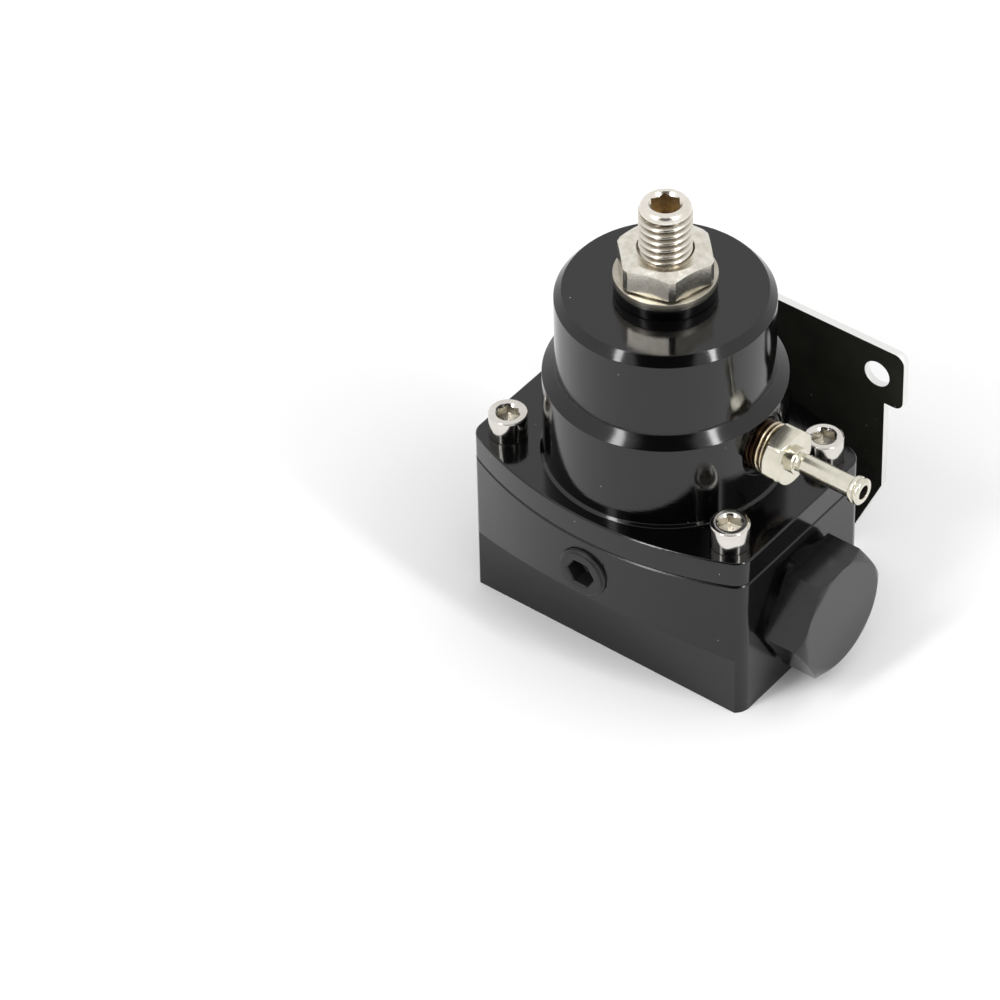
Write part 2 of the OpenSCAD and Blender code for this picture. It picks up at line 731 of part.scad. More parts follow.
// Screwed nipple with a hexagon and a hose tail that ends in two beads
module vacuum_nipple() {
    neck_x = nipple_tail_x + tail_collar_l;
    bead_x = nipple_end_x - 2 * bead_l - bead_gap;
    last_x = nipple_end_x - bead_l;
    edge = small_break / 2;
    relief_r = tail_r - edge;
    color("#d9d2c2") difference() {
        along_x(nipple_axis_z) {
            rotate_extrude() polygon([
                [0, nipple_root_x], [nipple_thread_r - small_break, nipple_root_x],
                [nipple_thread_r, nipple_root_x + small_break], [nipple_thread_r, nipple_hex_x + small_break],
                [0, nipple_hex_x + small_break]
            ]);
            translate([0, 0, nipple_hex_x]) rotate(nipple_turn) hex_bar(nipple_af, nipple_hex_l, true);
            rotate_extrude() polygon([
                [0, nipple_tail_x - small_break], [bead_r, nipple_tail_x - small_break],
                [bead_r, neck_x], [relief_r, neck_x], [relief_r, neck_x + tail_collar_l],
                [tail_r, neck_x + tail_collar_l], [tail_r, bead_x], [bead_r, bead_x + edge],
                [bead_r, bead_x + bead_l - edge], [tail_r, bead_x + bead_l], [tail_r, last_x],
                [bead_r, last_x + edge], [bead_r, nipple_end_x - edge], [bead_r - edge, nipple_end_x],
                [0, nipple_end_x]
            ]);
        }
        along_x(nipple_axis_z) translate([0, 0, nipple_root_x - over])
            cylinder(r = nipple_bore_r, h = nipple_end_x - nipple_root_x + 2 * over);
    }
}

// Headless plug with a hex socket, screwed into the gauge port
module gauge_port_plug() {
    plug_r = gauge_r - thread_fit;
    color("#1a1a1c") translate([0, -body_d / 2 - gauge_plug_stand, gauge_z]) rotate([90, 0, 0]) difference() {
        rotate_extrude() polygon([
            [0, -gauge_plug_l], [plug_r - small_break, -gauge_plug_l], [plug_r, small_break - gauge_plug_l],
            [plug_r, -2 * small_break], [plug_r - 2 * small_break, 0], [0, 0]
        ]);
        key_socket(gauge_key, gauge_key_depth);
    }
}

// Hexagon-headed plug in the side inlet
module side_port_plug() {
    plug_r = inlet_r - thread_fit;
    thread_x = port_face - ring_pocket_depth - plug_thread_l;
    color("#2b2c2e") along_x(inlet_z) {
        rotate_extrude() polygon([
            [0, thread_x], [plug_r - 2 * small_break, thread_x], [plug_r, thread_x + 2 * small_break],
            [plug_r, port_face], [plug_af / 2 - small_break, port_face],
            [plug_af / 2 - small_break, plug_hex_x + small_break], [0, plug_hex_x + small_break]
        ]);
        translate([0, 0, plug_hex_x]) rotate(plug_turn) hex_bar(plug_af, plug_hex_l, false);
    }
}

module side_plug_ring() {
    color("#101010") along_x(inlet_z) translate([0, 0, port_face - ring_pocket_depth / 2])
        rotate_extrude() translate([ring_mid, 0]) circle(r = ring_r - thread_fit / 2, $fn = 48);
}

// Front view of the bracket: narrow foot, taper, waist and two ears with round corners
module bracket_front() {
    ear_z = ear_top - ear_h;
    polygon([
        [-foot_w / 2, 0], [foot_w / 2, 0], [foot_w / 2, bend_z], [waist_w / 2, taper_z],
        [waist_w / 2, ear_z + over], [-waist_w / 2, ear_z + over], [-waist_w / 2, taper_z],
        [-foot_w / 2, bend_z]
    ]);
    translate([-ear_w / 2, ear_z + ear_r]) square([ear_w, ear_h - 2 * ear_r]);
    translate([ear_r - ear_w / 2, ear_z]) square([ear_w - 2 * ear_r, ear_h]);
    for (sx = [-1, 1], z = [ear_z + ear_r, ear_top - ear_r])
        translate([sx * (ear_w / 2 - ear_r), z]) circle(r = ear_r);
}

// Side view of the bracket: foot, round bend and upright
module bracket_side() {
    translate([foot_front, foot_lift]) square([bend_y - foot_front, sheet_t]);
    translate([sheet_y, bend_z]) square([sheet_t, ear_top - bend_z]);
    translate([bend_y, bend_z]) intersection() {
        difference() {
            circle(r = bend_r + sheet_t);
            circle(r = bend_r);
        }
        translate([0, -bend_r - sheet_t]) square(bend_r + sheet_t);
    }
}

// Folded sheet that carries the regulator on a panel
module mounting_bracket() {
    color("#121213") difference() {
        intersection() {
            translate([-ear_w / 2, 0, 0]) rotate([90, 0, 90]) linear_extrude(ear_w) bracket_side();
            translate([0, sheet_y + sheet_t, 0]) rotate([90, 0, 0])
                linear_extrude(sheet_y + sheet_t) bracket_front();
        }
        translate([0, 0, -over]) cylinder(r = foot_notch_r, h = foot_top + 2 * over);
        for (sx = [-1, 1])
            translate([sx * (ear_w / 2 - ear_hole_inset), sheet_y + sheet_t + over, ear_top - ear_hole_drop])
                rotate([90, 0, 0]) cylinder(r = ear_hole_r, h = sheet_t + 2 * over);
        at_foot_screws() translate([0, 0, foot_lift]) countersink(thread_fit);
    }
}

// Outline of a countersunk foot screw, grown by a margin
module countersink(margin) {
    rotate_extrude() polygon([
        [0, -margin], [foot_head_r + margin, -margin], [foot_head_r + margin, 0],
        [foot_screw_r + margin, foot_head_h], [foot_screw_r + margin, foot_screw_len], [0, foot_screw_len]
    ]);
}

module bracket_screws() {
    color("#3a3a3c") at_foot_screws() translate([0, 0, foot_lift]) difference() {
        countersink(0);
        rotate([180, 0, 0]) key_socket(foot_key, foot_key_depth);
    }
}

base_body();
bonnet();
flange_screws();
diaphragm();
spring_plate();
lower_plate();
valve_poppet();
stem_nut();
valve_seat();
seat_ring();
pressure_spring();
spring_button();
thrust_ball();
adjusting_screw();
adjuster_seal();
lock_washer();
lock_nut();
vacuum_nipple();
gauge_port_plug();
side_port_plug();
side_plug_ring();
mounting_bracket();
bracket_screws();
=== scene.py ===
"""Dresses the fuel pressure regulator: finishes, threads, key sockets, spring wire, light and camera."""

import logging
import math
from collections.abc import Callable, Sequence
from dataclasses import dataclass
from enum import Enum

import bmesh
import bpy
from mathutils import Matrix, Vector


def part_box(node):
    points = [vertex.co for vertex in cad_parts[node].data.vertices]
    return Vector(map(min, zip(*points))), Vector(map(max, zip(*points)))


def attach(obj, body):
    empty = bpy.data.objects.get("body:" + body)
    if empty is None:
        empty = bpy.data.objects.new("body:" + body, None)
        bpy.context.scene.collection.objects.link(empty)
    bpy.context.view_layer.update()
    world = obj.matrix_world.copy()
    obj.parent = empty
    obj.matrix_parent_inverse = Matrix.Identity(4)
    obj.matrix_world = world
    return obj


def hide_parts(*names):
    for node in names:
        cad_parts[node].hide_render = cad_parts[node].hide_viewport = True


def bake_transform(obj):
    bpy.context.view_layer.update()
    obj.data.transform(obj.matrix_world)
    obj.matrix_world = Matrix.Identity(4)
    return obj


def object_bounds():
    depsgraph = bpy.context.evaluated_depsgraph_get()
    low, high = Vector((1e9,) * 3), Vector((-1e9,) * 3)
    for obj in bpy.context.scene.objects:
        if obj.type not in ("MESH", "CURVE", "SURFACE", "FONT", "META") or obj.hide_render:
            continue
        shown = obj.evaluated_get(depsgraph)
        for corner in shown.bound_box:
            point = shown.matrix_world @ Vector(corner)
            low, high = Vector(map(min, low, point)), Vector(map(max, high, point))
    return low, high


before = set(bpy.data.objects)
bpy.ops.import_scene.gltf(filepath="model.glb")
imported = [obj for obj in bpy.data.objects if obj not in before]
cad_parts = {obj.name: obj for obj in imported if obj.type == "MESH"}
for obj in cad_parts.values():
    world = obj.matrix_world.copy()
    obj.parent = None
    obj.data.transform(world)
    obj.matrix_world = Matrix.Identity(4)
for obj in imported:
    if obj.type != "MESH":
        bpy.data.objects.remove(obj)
cad_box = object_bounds()

log = logging.getLogger("regulator")

MM = 0.001
HEX_BEVEL = math.radians(30)
DRILL_POINT = math.radians(31)
SHARP_EDGE = math.radians(32)
WELD_GAP_MM = 1e-4
THREAD_ROWS = 12
DRAWN_STRETCH = 0.04
EASED_SHARE = 0.45

Point = tuple[float, float]
Outline = Callable[[float], list[Point]]
Node = bpy.types.Node
Piece = bpy.types.Object
Socket = bpy.types.NodeSocket
Tree = bpy.types.NodeTree


def linear(code: str) -> tuple[float, float, float, float]:
    """Turns an sRGB hex colour into linear RGBA.

    Args:
        code: The colour as written, such as "#1a1b1c".

    Returns:
        Red, green, blue and alpha for a shader socket.
    """
    shares = [int(code[start:start + 2], 16) / 255 for start in (1, 3, 5)]
    light = [share / 12.92 if share <= 0.04045 else ((share + 0.055) / 1.055) ** 2.4 for share in shares]
    return (light[0], light[1], light[2], 1.0)


def add_node(
    tree: Tree, kind: str, values: dict | None = None, links: dict | None = None, **settings: object,
) -> Node:
    """Adds one node to a tree, sets it up and links it.

    Args:
        tree: The node tree that takes the node.
        kind: Blender's name for the kind of shader node.
        values: Socket name or number to constant value.
        links: Socket name or number to what feeds it, an output or a node's first output.
        **settings: The node's own properties.

    Returns:
        The new node.
    """
    node = tree.nodes.new(f"ShaderNode{kind}")
    for name, value in settings.items():
        setattr(node, name, value)
    for socket, value in (values or {}).items():
        node.inputs[socket].default_value = value
    for socket, source in (links or {}).items():
        output = source.outputs[0] if isinstance(source, Node) else source
        tree.links.new(output, node.inputs[socket])
    return node


def off_axis(tree: Tree, place: Socket) -> Socket:
    """Returns the distance from the piece's own axis, from its coordinates."""
    across = add_node(tree, "VectorMath", {1: (1.0, 1.0, 0.0)}, {0: place}, operation="MULTIPLY")
    return add_node(tree, "VectorMath", links={0: across}, operation="LENGTH").outputs["Value"]


class Marks(Enum):
    """How a surface was worked, which sets the run of its fine marks."""

    TURNED = "rings about the piece's own axis"
    DRAWN = "lines along the piece's own axis"
    GRIT = "no direction"


@dataclass(frozen=True)
class Finish:
    """A surface as it was made.

    Attributes:
        name: The material and the process.
        colour: Main colour, sRGB hex.
        patch_colour: Colour of the cloudy patches, sRGB hex.
        patch_mm: Size of those patches.
        roughness: Smallest and largest roughness.
        metallic: 1 for bare metal.
        ior: Refractive index, for what isn't metal.
        marks: Run of the fine marks.
        mark_mm: Spacing of the fine marks.
        mark_depth_mm: Depth of the fine marks.
        mark_strength: Share of that depth that is shown.
    """

    name: str
    colour: str
    patch_colour: str
    patch_mm: float
    roughness: tuple[float, float]
    metallic: float = 0.0
    ior: float = 1.5
    marks: Marks = Marks.GRIT
    mark_mm: float = 0.3
    mark_depth_mm: float = 0.004
    mark_strength: float = 0.5

    def material(self) -> bpy.types.Material:
        """Makes the Blender material at its first use.

        Returns:
            The material, the same one each time.
        """
        made = bpy.data.materials.get(self.name)
        if made:
            return made
        made = bpy.data.materials.new(self.name)
        made.use_nodes = True
        tree = made.node_tree
        surface = tree.nodes["Principled BSDF"]
        surface.inputs["Metallic"].default_value = self.metallic
        if not self.metallic:
            surface.inputs["IOR"].default_value = self.ior
        self.shade(tree, surface)
        return made

    def shade(self, tree: Tree, surface: Node) -> None:
        """Links colour, roughness and marks to the surface.

        Args:
            tree: The material's node tree.
            surface: Its Principled node.
        """
        place = add_node(tree, "TexCoord").outputs["Object"]
        marks = self.mark_height(tree, place)
        tree.links.new(self.tint(tree, place), surface.inputs["Base Color"])
        low, high = self.roughness
        span = {"From Min": 0.3, "From Max": 0.7, "To Min": low, "To Max": high}
        rough = add_node(tree, "MapRange", span, {"Value": marks})
        tree.links.new(rough.outputs["Result"], surface.inputs["Roughness"])
        relief = {"Strength": self.mark_strength, "Distance": self.mark_depth_mm * MM}
        bump = add_node(tree, "Bump", relief, {"Height": marks})
        tree.links.new(bump.outputs["Normal"], surface.inputs["Normal"])

    def tint(self, tree: Tree, place: Socket) -> Socket:
        """Mixes the main colour with its cloudy patches.

        Args:
            tree: The material's node tree.
            place: Coordinates on the piece, in metres.

        Returns:
            The colour output.
        """
        scale = 1 / (self.patch_mm * MM)
        patches = add_node(tree, "TexNoise", {"Scale": scale, "Detail": 4.0}, {"Vector": place})
        share = add_node(tree, "MapRange", {"From Min": 0.35, "From Max": 0.7}, {"Value": patches})
        colours = {6: linear(self.colour), 7: linear(self.patch_colour)}
        return add_node(tree, "Mix", colours, {0: share}, data_type="RGBA").outputs[2]

    def mark_height(self, tree: Tree, place: Socket) -> Socket:
        """Makes the height field of the fine marks.

        Args:
            tree: The material's node tree.
            place: Coordinates on the piece, in metres.

        Returns:
            The height output, about 0 to 1.
        """
        scale = 1 / (self.mark_mm * MM)
        if self.marks is Marks.TURNED:
            height = add_node(tree, "SeparateXYZ", links={0: place}).outputs["Z"]
            along = add_node(tree, "Math", links={0: off_axis(tree, place), 1: height}, operation="SUBTRACT")
            return add_node(
                tree, "TexNoise", {"Scale": scale, "Detail": 2.0}, {"W": along}, noise_dimensions="1D"
            ).outputs["Fac"]
        if self.marks is Marks.DRAWN:
            stretch = (1.0, 1.0, DRAWN_STRETCH)
            place = add_node(tree, "Mapping", {"Scale": stretch}, {"Vector": place}).outputs["Vector"]
        return add_node(tree, "TexNoise", {"Scale": scale, "Detail": 3.0}, {"Vector": place}).outputs["Fac"]


@dataclass(frozen=True)
class DustyBlack(Finish):
    """A black finish that shows a few specks of dust.

    Attributes:
        dust_colour: Colour of the specks.
        dust_gap_mm: Mean spacing of the specks' cells.
        dust_mm: Radius of a speck.
        dust_share: Share of the cells that hold a speck.
    """

    dust_colour: str = "#a9a8a4"
    dust_gap_mm: float = 2.0
    dust_mm: float = 0.11
    dust_share: float = 0.25

    def tint(self, tree: Tree, place: Socket) -> Socket:
        """Lays dust specks over the patched colour.

        Args:
            tree: The material's node tree.
            place: Coordinates on the piece, in metres.

        Returns:
            The colour output.
        """
        under = super().tint(tree, place)
        cells = add_node(tree, "TexVoronoi", {"Scale": 1 / (self.dust_gap_mm * MM)}, {"Vector": place})
        size = self.dust_mm / self.dust_gap_mm
        near = add_node(tree, "Math", {1: size}, {0: cells.outputs["Distance"]}, operation="LESS_THAN")
        chance = add_node(tree, "SeparateColor", links={0: cells.outputs["Color"]})
        chosen = add_node(tree, "Math", {1: self.dust_share}, {0: chance}, operation="LESS_THAN")
        speck = add_node(tree, "Math", links={0: near, 1: chosen}, operation="MULTIPLY")
        dust = {7: linear(self.dust_colour)}
        return add_node(tree, "Mix", dust, {0: speck, 6: under}, data_type="RGBA").outputs[2]


@dataclass(frozen=True)
class CoatedSheet(DustyBlack):
    """Black coated sheet with a painted highlight: its cut edges are drawn as near-white metal.

    Attributes:
        edge_highlight_colour: Near-white colour of the painted highlight on the edges.
        edge_roughness: Roughness of the edges with the painted highlight.
        bend_mm: Height of the bend, above which the sheet stands upright.
        facing: Part of a face's direction from which it counts as turned that way.
    """

    edge_highlight_colour: str = "#ececea"
    edge_roughness: float = 0.5
    bend_mm: float = 3.4
    facing: float = 0.6

    def shade(self, tree: Tree, surface: Node) -> None:
        """Paints the highlight, as near-white metal, onto the edges of the coated sheet.

        Args:
            tree: The material's node tree.
            surface: Its Principled node.
        """
        super().shade(tree, surface)
        coords = add_node(tree, "TexCoord")
        normal = add_node(tree, "SeparateXYZ", links={0: coords.outputs["Normal"]})
        height = add_node(tree, "SeparateXYZ", links={0: coords.outputs["Object"]}).outputs["Z"]
        stands = add_node(tree, "Math", {1: self.bend_mm * MM}, {0: height}, operation="GREATER_THAN")
        aside, ahead = (
            add_node(tree, "Math", links={0: normal.outputs[axis]}, operation="ABSOLUTE")
            for axis in ("X", "Y")
        )
        off_face = add_node(tree, "Math", {1: self.facing}, {0: ahead}, operation="LESS_THAN")
        off_foot = add_node(tree, "Math", {1: self.facing}, {0: aside}, operation="GREATER_THAN")
        edge = add_node(tree, "Mix", links={0: stands, 2: off_foot, 3: off_face}).outputs[0]
        # Painted highlight: faces off the sheet's main faces take the near-white edge colour, its roughness
        # and full metal.
        blends = (
            ("Base Color", "RGBA", 6, 7, 2, linear(self.edge_highlight_colour)),
            ("Roughness", "FLOAT", 2, 3, 0, self.edge_roughness),
        )
        for socket, kind, first, second, result, painted_light_mix in blends:
            coated = surface.inputs[socket].links[0].from_socket
            blend = add_node(tree, "Mix", {second: painted_light_mix}, {0: edge, first: coated}, data_type=kind)
            tree.links.new(blend.outputs[result], surface.inputs[socket])
        tree.links.new(edge, surface.inputs["Metallic"])


@dataclass(frozen=True)
class ThreadMetal(Finish):
    """Uncoated metal with painted shade: its thread roots are painted darker, and so is the whole thread
    below a given height on its axis.

    Attributes:
        groove_shade_colour: Colour of the painted shade deep in the thread.
        root_mm: Radius at which the painted shade is full.
        crest_mm: Radius at which the painted shade ends.
        shaded_end_mm: Height on the piece's axis below which the painted shade lies over the ridges too.
        shaded_end_fade_mm: Length over which that painted shade fades out.
    """

    groove_shade_colour: str = "#93703f"
    root_mm: float = 4.4
    crest_mm: float = 4.8
    shaded_end_mm: float = 0.0
    shaded_end_fade_mm: float = 0.5

    def tint(self, tree: Tree, place: Socket) -> Socket:
        """Paints shade into the roots of the thread, and over the thread below the given height.

        Args:
            tree: The material's node tree.
            place: Coordinates on the piece, in metres.

        Returns:
            The colour output.
        """
        unshaded = super().tint(tree, place)
        # Painted shade: the thread's roots, and all of the thread below the given height, take the darker
        # root colour.
        depth = {"From Min": self.root_mm * MM, "From Max": self.crest_mm * MM}
        share = add_node(tree, "MapRange", depth, {"Value": off_axis(tree, place)})
        height = add_node(tree, "SeparateXYZ", links={0: place}).outputs["Z"]
        shaded_end_span = {"From Min": self.shaded_end_mm * MM, "From Max": (self.shaded_end_mm + self.shaded_end_fade_mm) * MM}
        free = add_node(tree, "MapRange", shaded_end_span, {"Value": height})
        painted_light_mix = add_node(tree, "Math", links={0: share, 1: free}, operation="MULTIPLY")
        painted_shade = {6: linear(self.groove_shade_colour)}
        return add_node(tree, "Mix", painted_shade, {0: painted_light_mix, 7: unshaded}, data_type="RGBA").outputs[2]


# Turned bar, polished and black anodised: a deep black that mirrors softly, with faint lathe rings.
# The real rings lie 0.05 mm apart, drawn wider here so that they show.
GLOSS_BLACK = DustyBlack(
    "gloss_black_anodised_turned_aluminium", "#050506", "#080809", 14.0, (0.08, 0.14), marks=Marks.TURNED,
    mark_depth_mm=0.009, mark_strength=0.7, dust_share=0.1,
)
# Milled block, etched and black anodised: satin, so that it greys evenly where light falls on it.
SATIN_BLACK = DustyBlack(
    "satin_black_anodised_milled_aluminium", "#0a0a0b", "#0f0f10", 10.0, (0.17, 0.23), ior=1.47,
    mark_mm=0.35, mark_depth_mm=0.0015, mark_strength=0.2, dust_share=0.04,
)
# Hexagon bar, anodised without polishing: the dullest of the blacks, with a grainy sawn feel on its flats.
MATT_BLACK = DustyBlack(
    "matt_black_anodised_hexagon_bar", "#0c0c0d", "#141414", 2.0, (0.13, 0.21), mark_mm=0.4,
    mark_depth_mm=0.02, mark_strength=0.4, dust_share=0.05,
)
# Black oxide on steel: thin and slightly oily, dark grey with a soft shine.
BLACK_OXIDE = Finish("black_oxide_steel", "#131314", "#1d1c1b", 3.0, (0.26, 0.4), ior=1.55, mark_mm=0.25)
# Stainless steel, polished: nearly a mirror, with a warm cast.
POLISHED_STEEL = Finish(
    "polished_stainless_steel", "#dad7d1", "#cfcac2", 4.0, (0.1, 0.18), 1.0, mark_mm=0.35,
    mark_depth_mm=0.003, mark_strength=0.3,
)
# Stainless steel as formed: its skin is slightly grainy, so that its flats scatter light.
FORMED_STEEL = Finish(
    "cold_formed_stainless_steel", "#e2ded4", "#cfc9bb", 1.2, (0.16, 0.26), 1.0, mark_mm=0.35,
    mark_depth_mm=0.02, mark_strength=0.6,
)
# Stainless washer, tumbled after punching: an even soft shine without clear reflections.
TUMBLED_STEEL = Finish(
    "tumbled_stainless_steel", "#bdb8ac", "#aaa497", 2.0, (0.3, 0.42), 1.0, marks=Marks.TURNED,
    mark_strength=0.4,
)
# Stainless steel as turned: a cream shine, softened by the tool's fine tearing.
CUT_STEEL = Finish(
    "turned_stainless_steel", "#e8e3da", "#dcd5c9", 3.0, (0.2, 0.3), 1.0, mark_mm=0.35, mark_strength=0.3,
)
# The same steel with a cut thread: bright ridges, and grooves painted grey as painted shade.
CUT_THREAD = ThreadMetal(
    "cut_stainless_steel_thread", "#e0dbd0", "#d3ccbf", 3.0, (0.2, 0.28), 1.0, mark_mm=0.5,
    mark_strength=0.15, groove_shade_colour="#6d6558", root_mm=3.95, crest_mm=4.65,
)
# A broached key socket: unpolished steel that keeps a brown film of cutting oil.
OILED_SOCKET = Finish(
    "broached_oiled_steel", "#cfc0a4", "#b09c7a", 1.2, (0.3, 0.42), 1.0, marks=Marks.DRAWN, mark_mm=0.25,
    mark_depth_mm=0.01,
)
# A broached key socket without oil: paler, with the tool's lines down its walls.
DRY_SOCKET = Finish(
    "broached_stainless_steel", "#cdc9c0", "#b5afa2", 1.2, (0.25, 0.36), 1.0, marks=Marks.DRAWN,
    mark_mm=0.25, mark_depth_mm=0.008,
)
# Satin nickel over turned brass: a soft cream shine, with the yellow of the brass behind it.
NICKEL = Finish(
    "satin_nickel_plated_brass", "#dcd8ca", "#d0ccbb", 3.0, (0.16, 0.24), 1.0, marks=Marks.TURNED,
    mark_depth_mm=0.002, mark_strength=0.15,
)
# The same plating on a cut thread, with painted shade: dark brown in the roots, and over the whole thread
# below 22.6 mm on its axis, at its inner end.
NICKEL_THREAD = ThreadMetal(
    "nickel_plated_cut_thread", "#e6dcc6", "#d6c6a6", 2.0, (0.2, 0.3), 1.0, mark_mm=0.5, mark_strength=0.15,
    groove_shade_colour="#33261a", shaded_end_mm=22.6,
)
# A drilled bore that the plating did not reach: dull and dark brown.
DRILLED_BORE = Finish("drilled_tarnished_brass", "#2b241a", "#1c1812", 1.5, (0.45, 0.6), marks=Marks.TURNED)
# Low-carbon sheet under black powder coat: hard gloss, with a painted highlight of near-white metal on its
# edges.
COATED_SHEET = CoatedSheet(
    "black_coated_steel_sheet_painted_edge_highlight", "#2b2b27", "#33332e", 8.0, (0.12, 0.2), ior=1.52, mark_mm=1.2,
    mark_strength=0.3,
)
# Moulded nitrile rubber: a deep black skin with a faint sheen.
RUBBER = Finish("moulded_nitrile_rubber", "#020202", "#040404", 4.0, (0.18, 0.26), mark_depth_mm=0.003)
# Rubber on woven cloth: brown-black, with the weave pressed through.
RUBBER_CLOTH = Finish(
    "nitrile_coated_polyester_cloth", "#3d3029", "#2f2622", 3.0, (0.6, 0.72), mark_mm=0.5,
    mark_depth_mm=0.03,
)
# Zinc plated and clear passivated steel: pale blue-grey with cloudy patches.
ZINC = Finish("clear_passivated_zinc_plated_steel", "#c2c7cb", "#aeb6bd", 3.0, (0.28, 0.4), 1.0)
# Oil-tempered spring wire, drawn: grey with a fine grain.
SPRING_WIRE = Finish("drawn_spring_steel_wire", "#9fa2a4", "#84878a", 3.0, (0.25, 0.38), 1.0, mark_mm=0.25)
# Ground and lapped bearing ball: a clear mirror.
BALL_STEEL = Finish(
    "lapped_bearing_steel", "#cfd1d3", "#c6c8cb", 4.0, (0.05, 0.09), 1.0, mark_mm=0.5, mark_depth_mm=0.001,
)
# Turned brass, unplated: warm yellow with lathe rings.
BRASS = Finish(
    "turned_brass", "#c9a35a", "#b58d48", 3.0, (0.18, 0.3), 1.0, marks=Marks.TURNED, mark_mm=0.25,
    mark_depth_mm=0.005,
)


def polar(radius: float, angle: float, height: float) -> Vector:
    """Returns the point at a radius, an angle in radians and a height."""
    return Vector((radius * math.cos(angle), radius * math.sin(angle), height))


def aim(azimuth: float, elevation: float) -> Vector:
    """Returns the direction at degrees from the front towards +X, and degrees above the floor."""
    turn, rise = math.radians(azimuth), math.radians(elevation)
    return Vector((math.sin(turn) * math.cos(rise), -math.cos(turn) * math.cos(rise), math.sin(rise)))


def eased(points: Sequence[Point], radius: float, bends: int = 3) -> list[Point]:
    """Rounds each inner corner of an outline by a small arc.

    Args:
        points: Corners of the outline as (radius, height), in mm.
        radius: Distance from a corner at which its round starts.
        bends: Number of stretches in a round.

    Returns:
        The outline with its first and last points kept.
    """
    corners = [Vector(point) for point in points]
    rounded = [points[0]]
    for before, corner, after in zip(corners, corners[1:], corners[2:]):
        reach = min(radius, *(EASED_SHARE * (side - corner).length for side in (before, after)))
        start = corner + (before - corner).normalized() * reach
        end = corner + (after - corner).normalized() * reach
        for bend in range(bends + 1):
            share = bend / bends
            spot = start * (1 - share) ** 2 + corner * 2 * share * (1 - share) + end * share ** 2
            rounded.append((spot.x, spot.y))
    return [*rounded, points[-1]]


def hexagon(across: float, turn: float, blunt: float = 0.0) -> Callable[[float], float]:
    """Gives the outline of a hexagon as a radius for each direction.

    Args:
        across: Width across flats, in mm.
        turn: Direction of one corner, in radians.
        blunt: How much is worn off each corner, in mm.

    Returns:
        A function from an angle in radians to a radius in mm.
    """
    def radius(angle: float) -> float:
        """Measures the hexagon in one direction.

        Args:
            angle: The direction, in radians.

        Returns:
            Its radius there, in mm.
        """
        off_flat = abs((angle - turn) % (math.pi / 3) - math.pi / 6)
        corner = (across / math.sqrt(3) - blunt) / math.cos(math.pi / 6 - off_flat)
        return min(across / 2 / math.cos(off_flat), corner)
    return radius


@dataclass(frozen=True)
class KeySocket:
    """Hexagon socket with a countersunk mouth and a drilled bottom.

    Attributes:
        across: Key width across flats.
        mouth: Radius of the countersink.
        depth: Depth of the socket.
        turn: Direction of a corner, in radians.
    """

    across: float
    mouth: float
    depth: float
    turn: float = math.radians(8.7)

    def rim(self, angle: float, top: float) -> list[Point]:
        """Returns the countersink in one direction, below the height of its mouth."""
        side = hexagon(self.across, self.turn)(angle)
        return [(self.mouth, top), (side, top - self.mouth + side)]

    def walls(self, angle: float, top: float) -> list[Point]:
        """Gives the walls and the bottom in one direction.

        Args:
            angle: The direction, in radians.
            top: Height of the mouth, in mm.

        Returns:
            Points from the countersink's foot to the middle.
        """
        lip = self.rim(angle, top)[1]
        floor = top - self.depth
        tip = floor - self.across / 2 * math.tan(DRILL_POINT)
        return [lip, (lip[0], floor), (self.across / 2, floor), (0.0, tip)]


def finished(
    name: str, mesh: bmesh.types.BMesh, finishes: Sequence[Finish], sharp: float = SHARP_EDGE
) -> Piece:
    """Turns a built mesh into a smooth object.

    Args:
        name: Name of the piece.
        mesh: Its mesh, in metres, which is used up.
        finishes: The materials, in the order of the faces' slots.
        sharp: Angle from which an edge is shaded sharp, in radians.

    Returns:
        The new object, not yet on a body.
    """
    data = bpy.data.meshes.new(name)
    mesh.to_mesh(data)
    mesh.free()
    for finish in finishes:
        data.materials.append(finish.material())
    data.shade_smooth()
    data.set_sharp_from_angle(angle=sharp)
    piece = bpy.data.objects.new(name, data)
    bpy.context.scene.collection.objects.link(piece)
    return piece


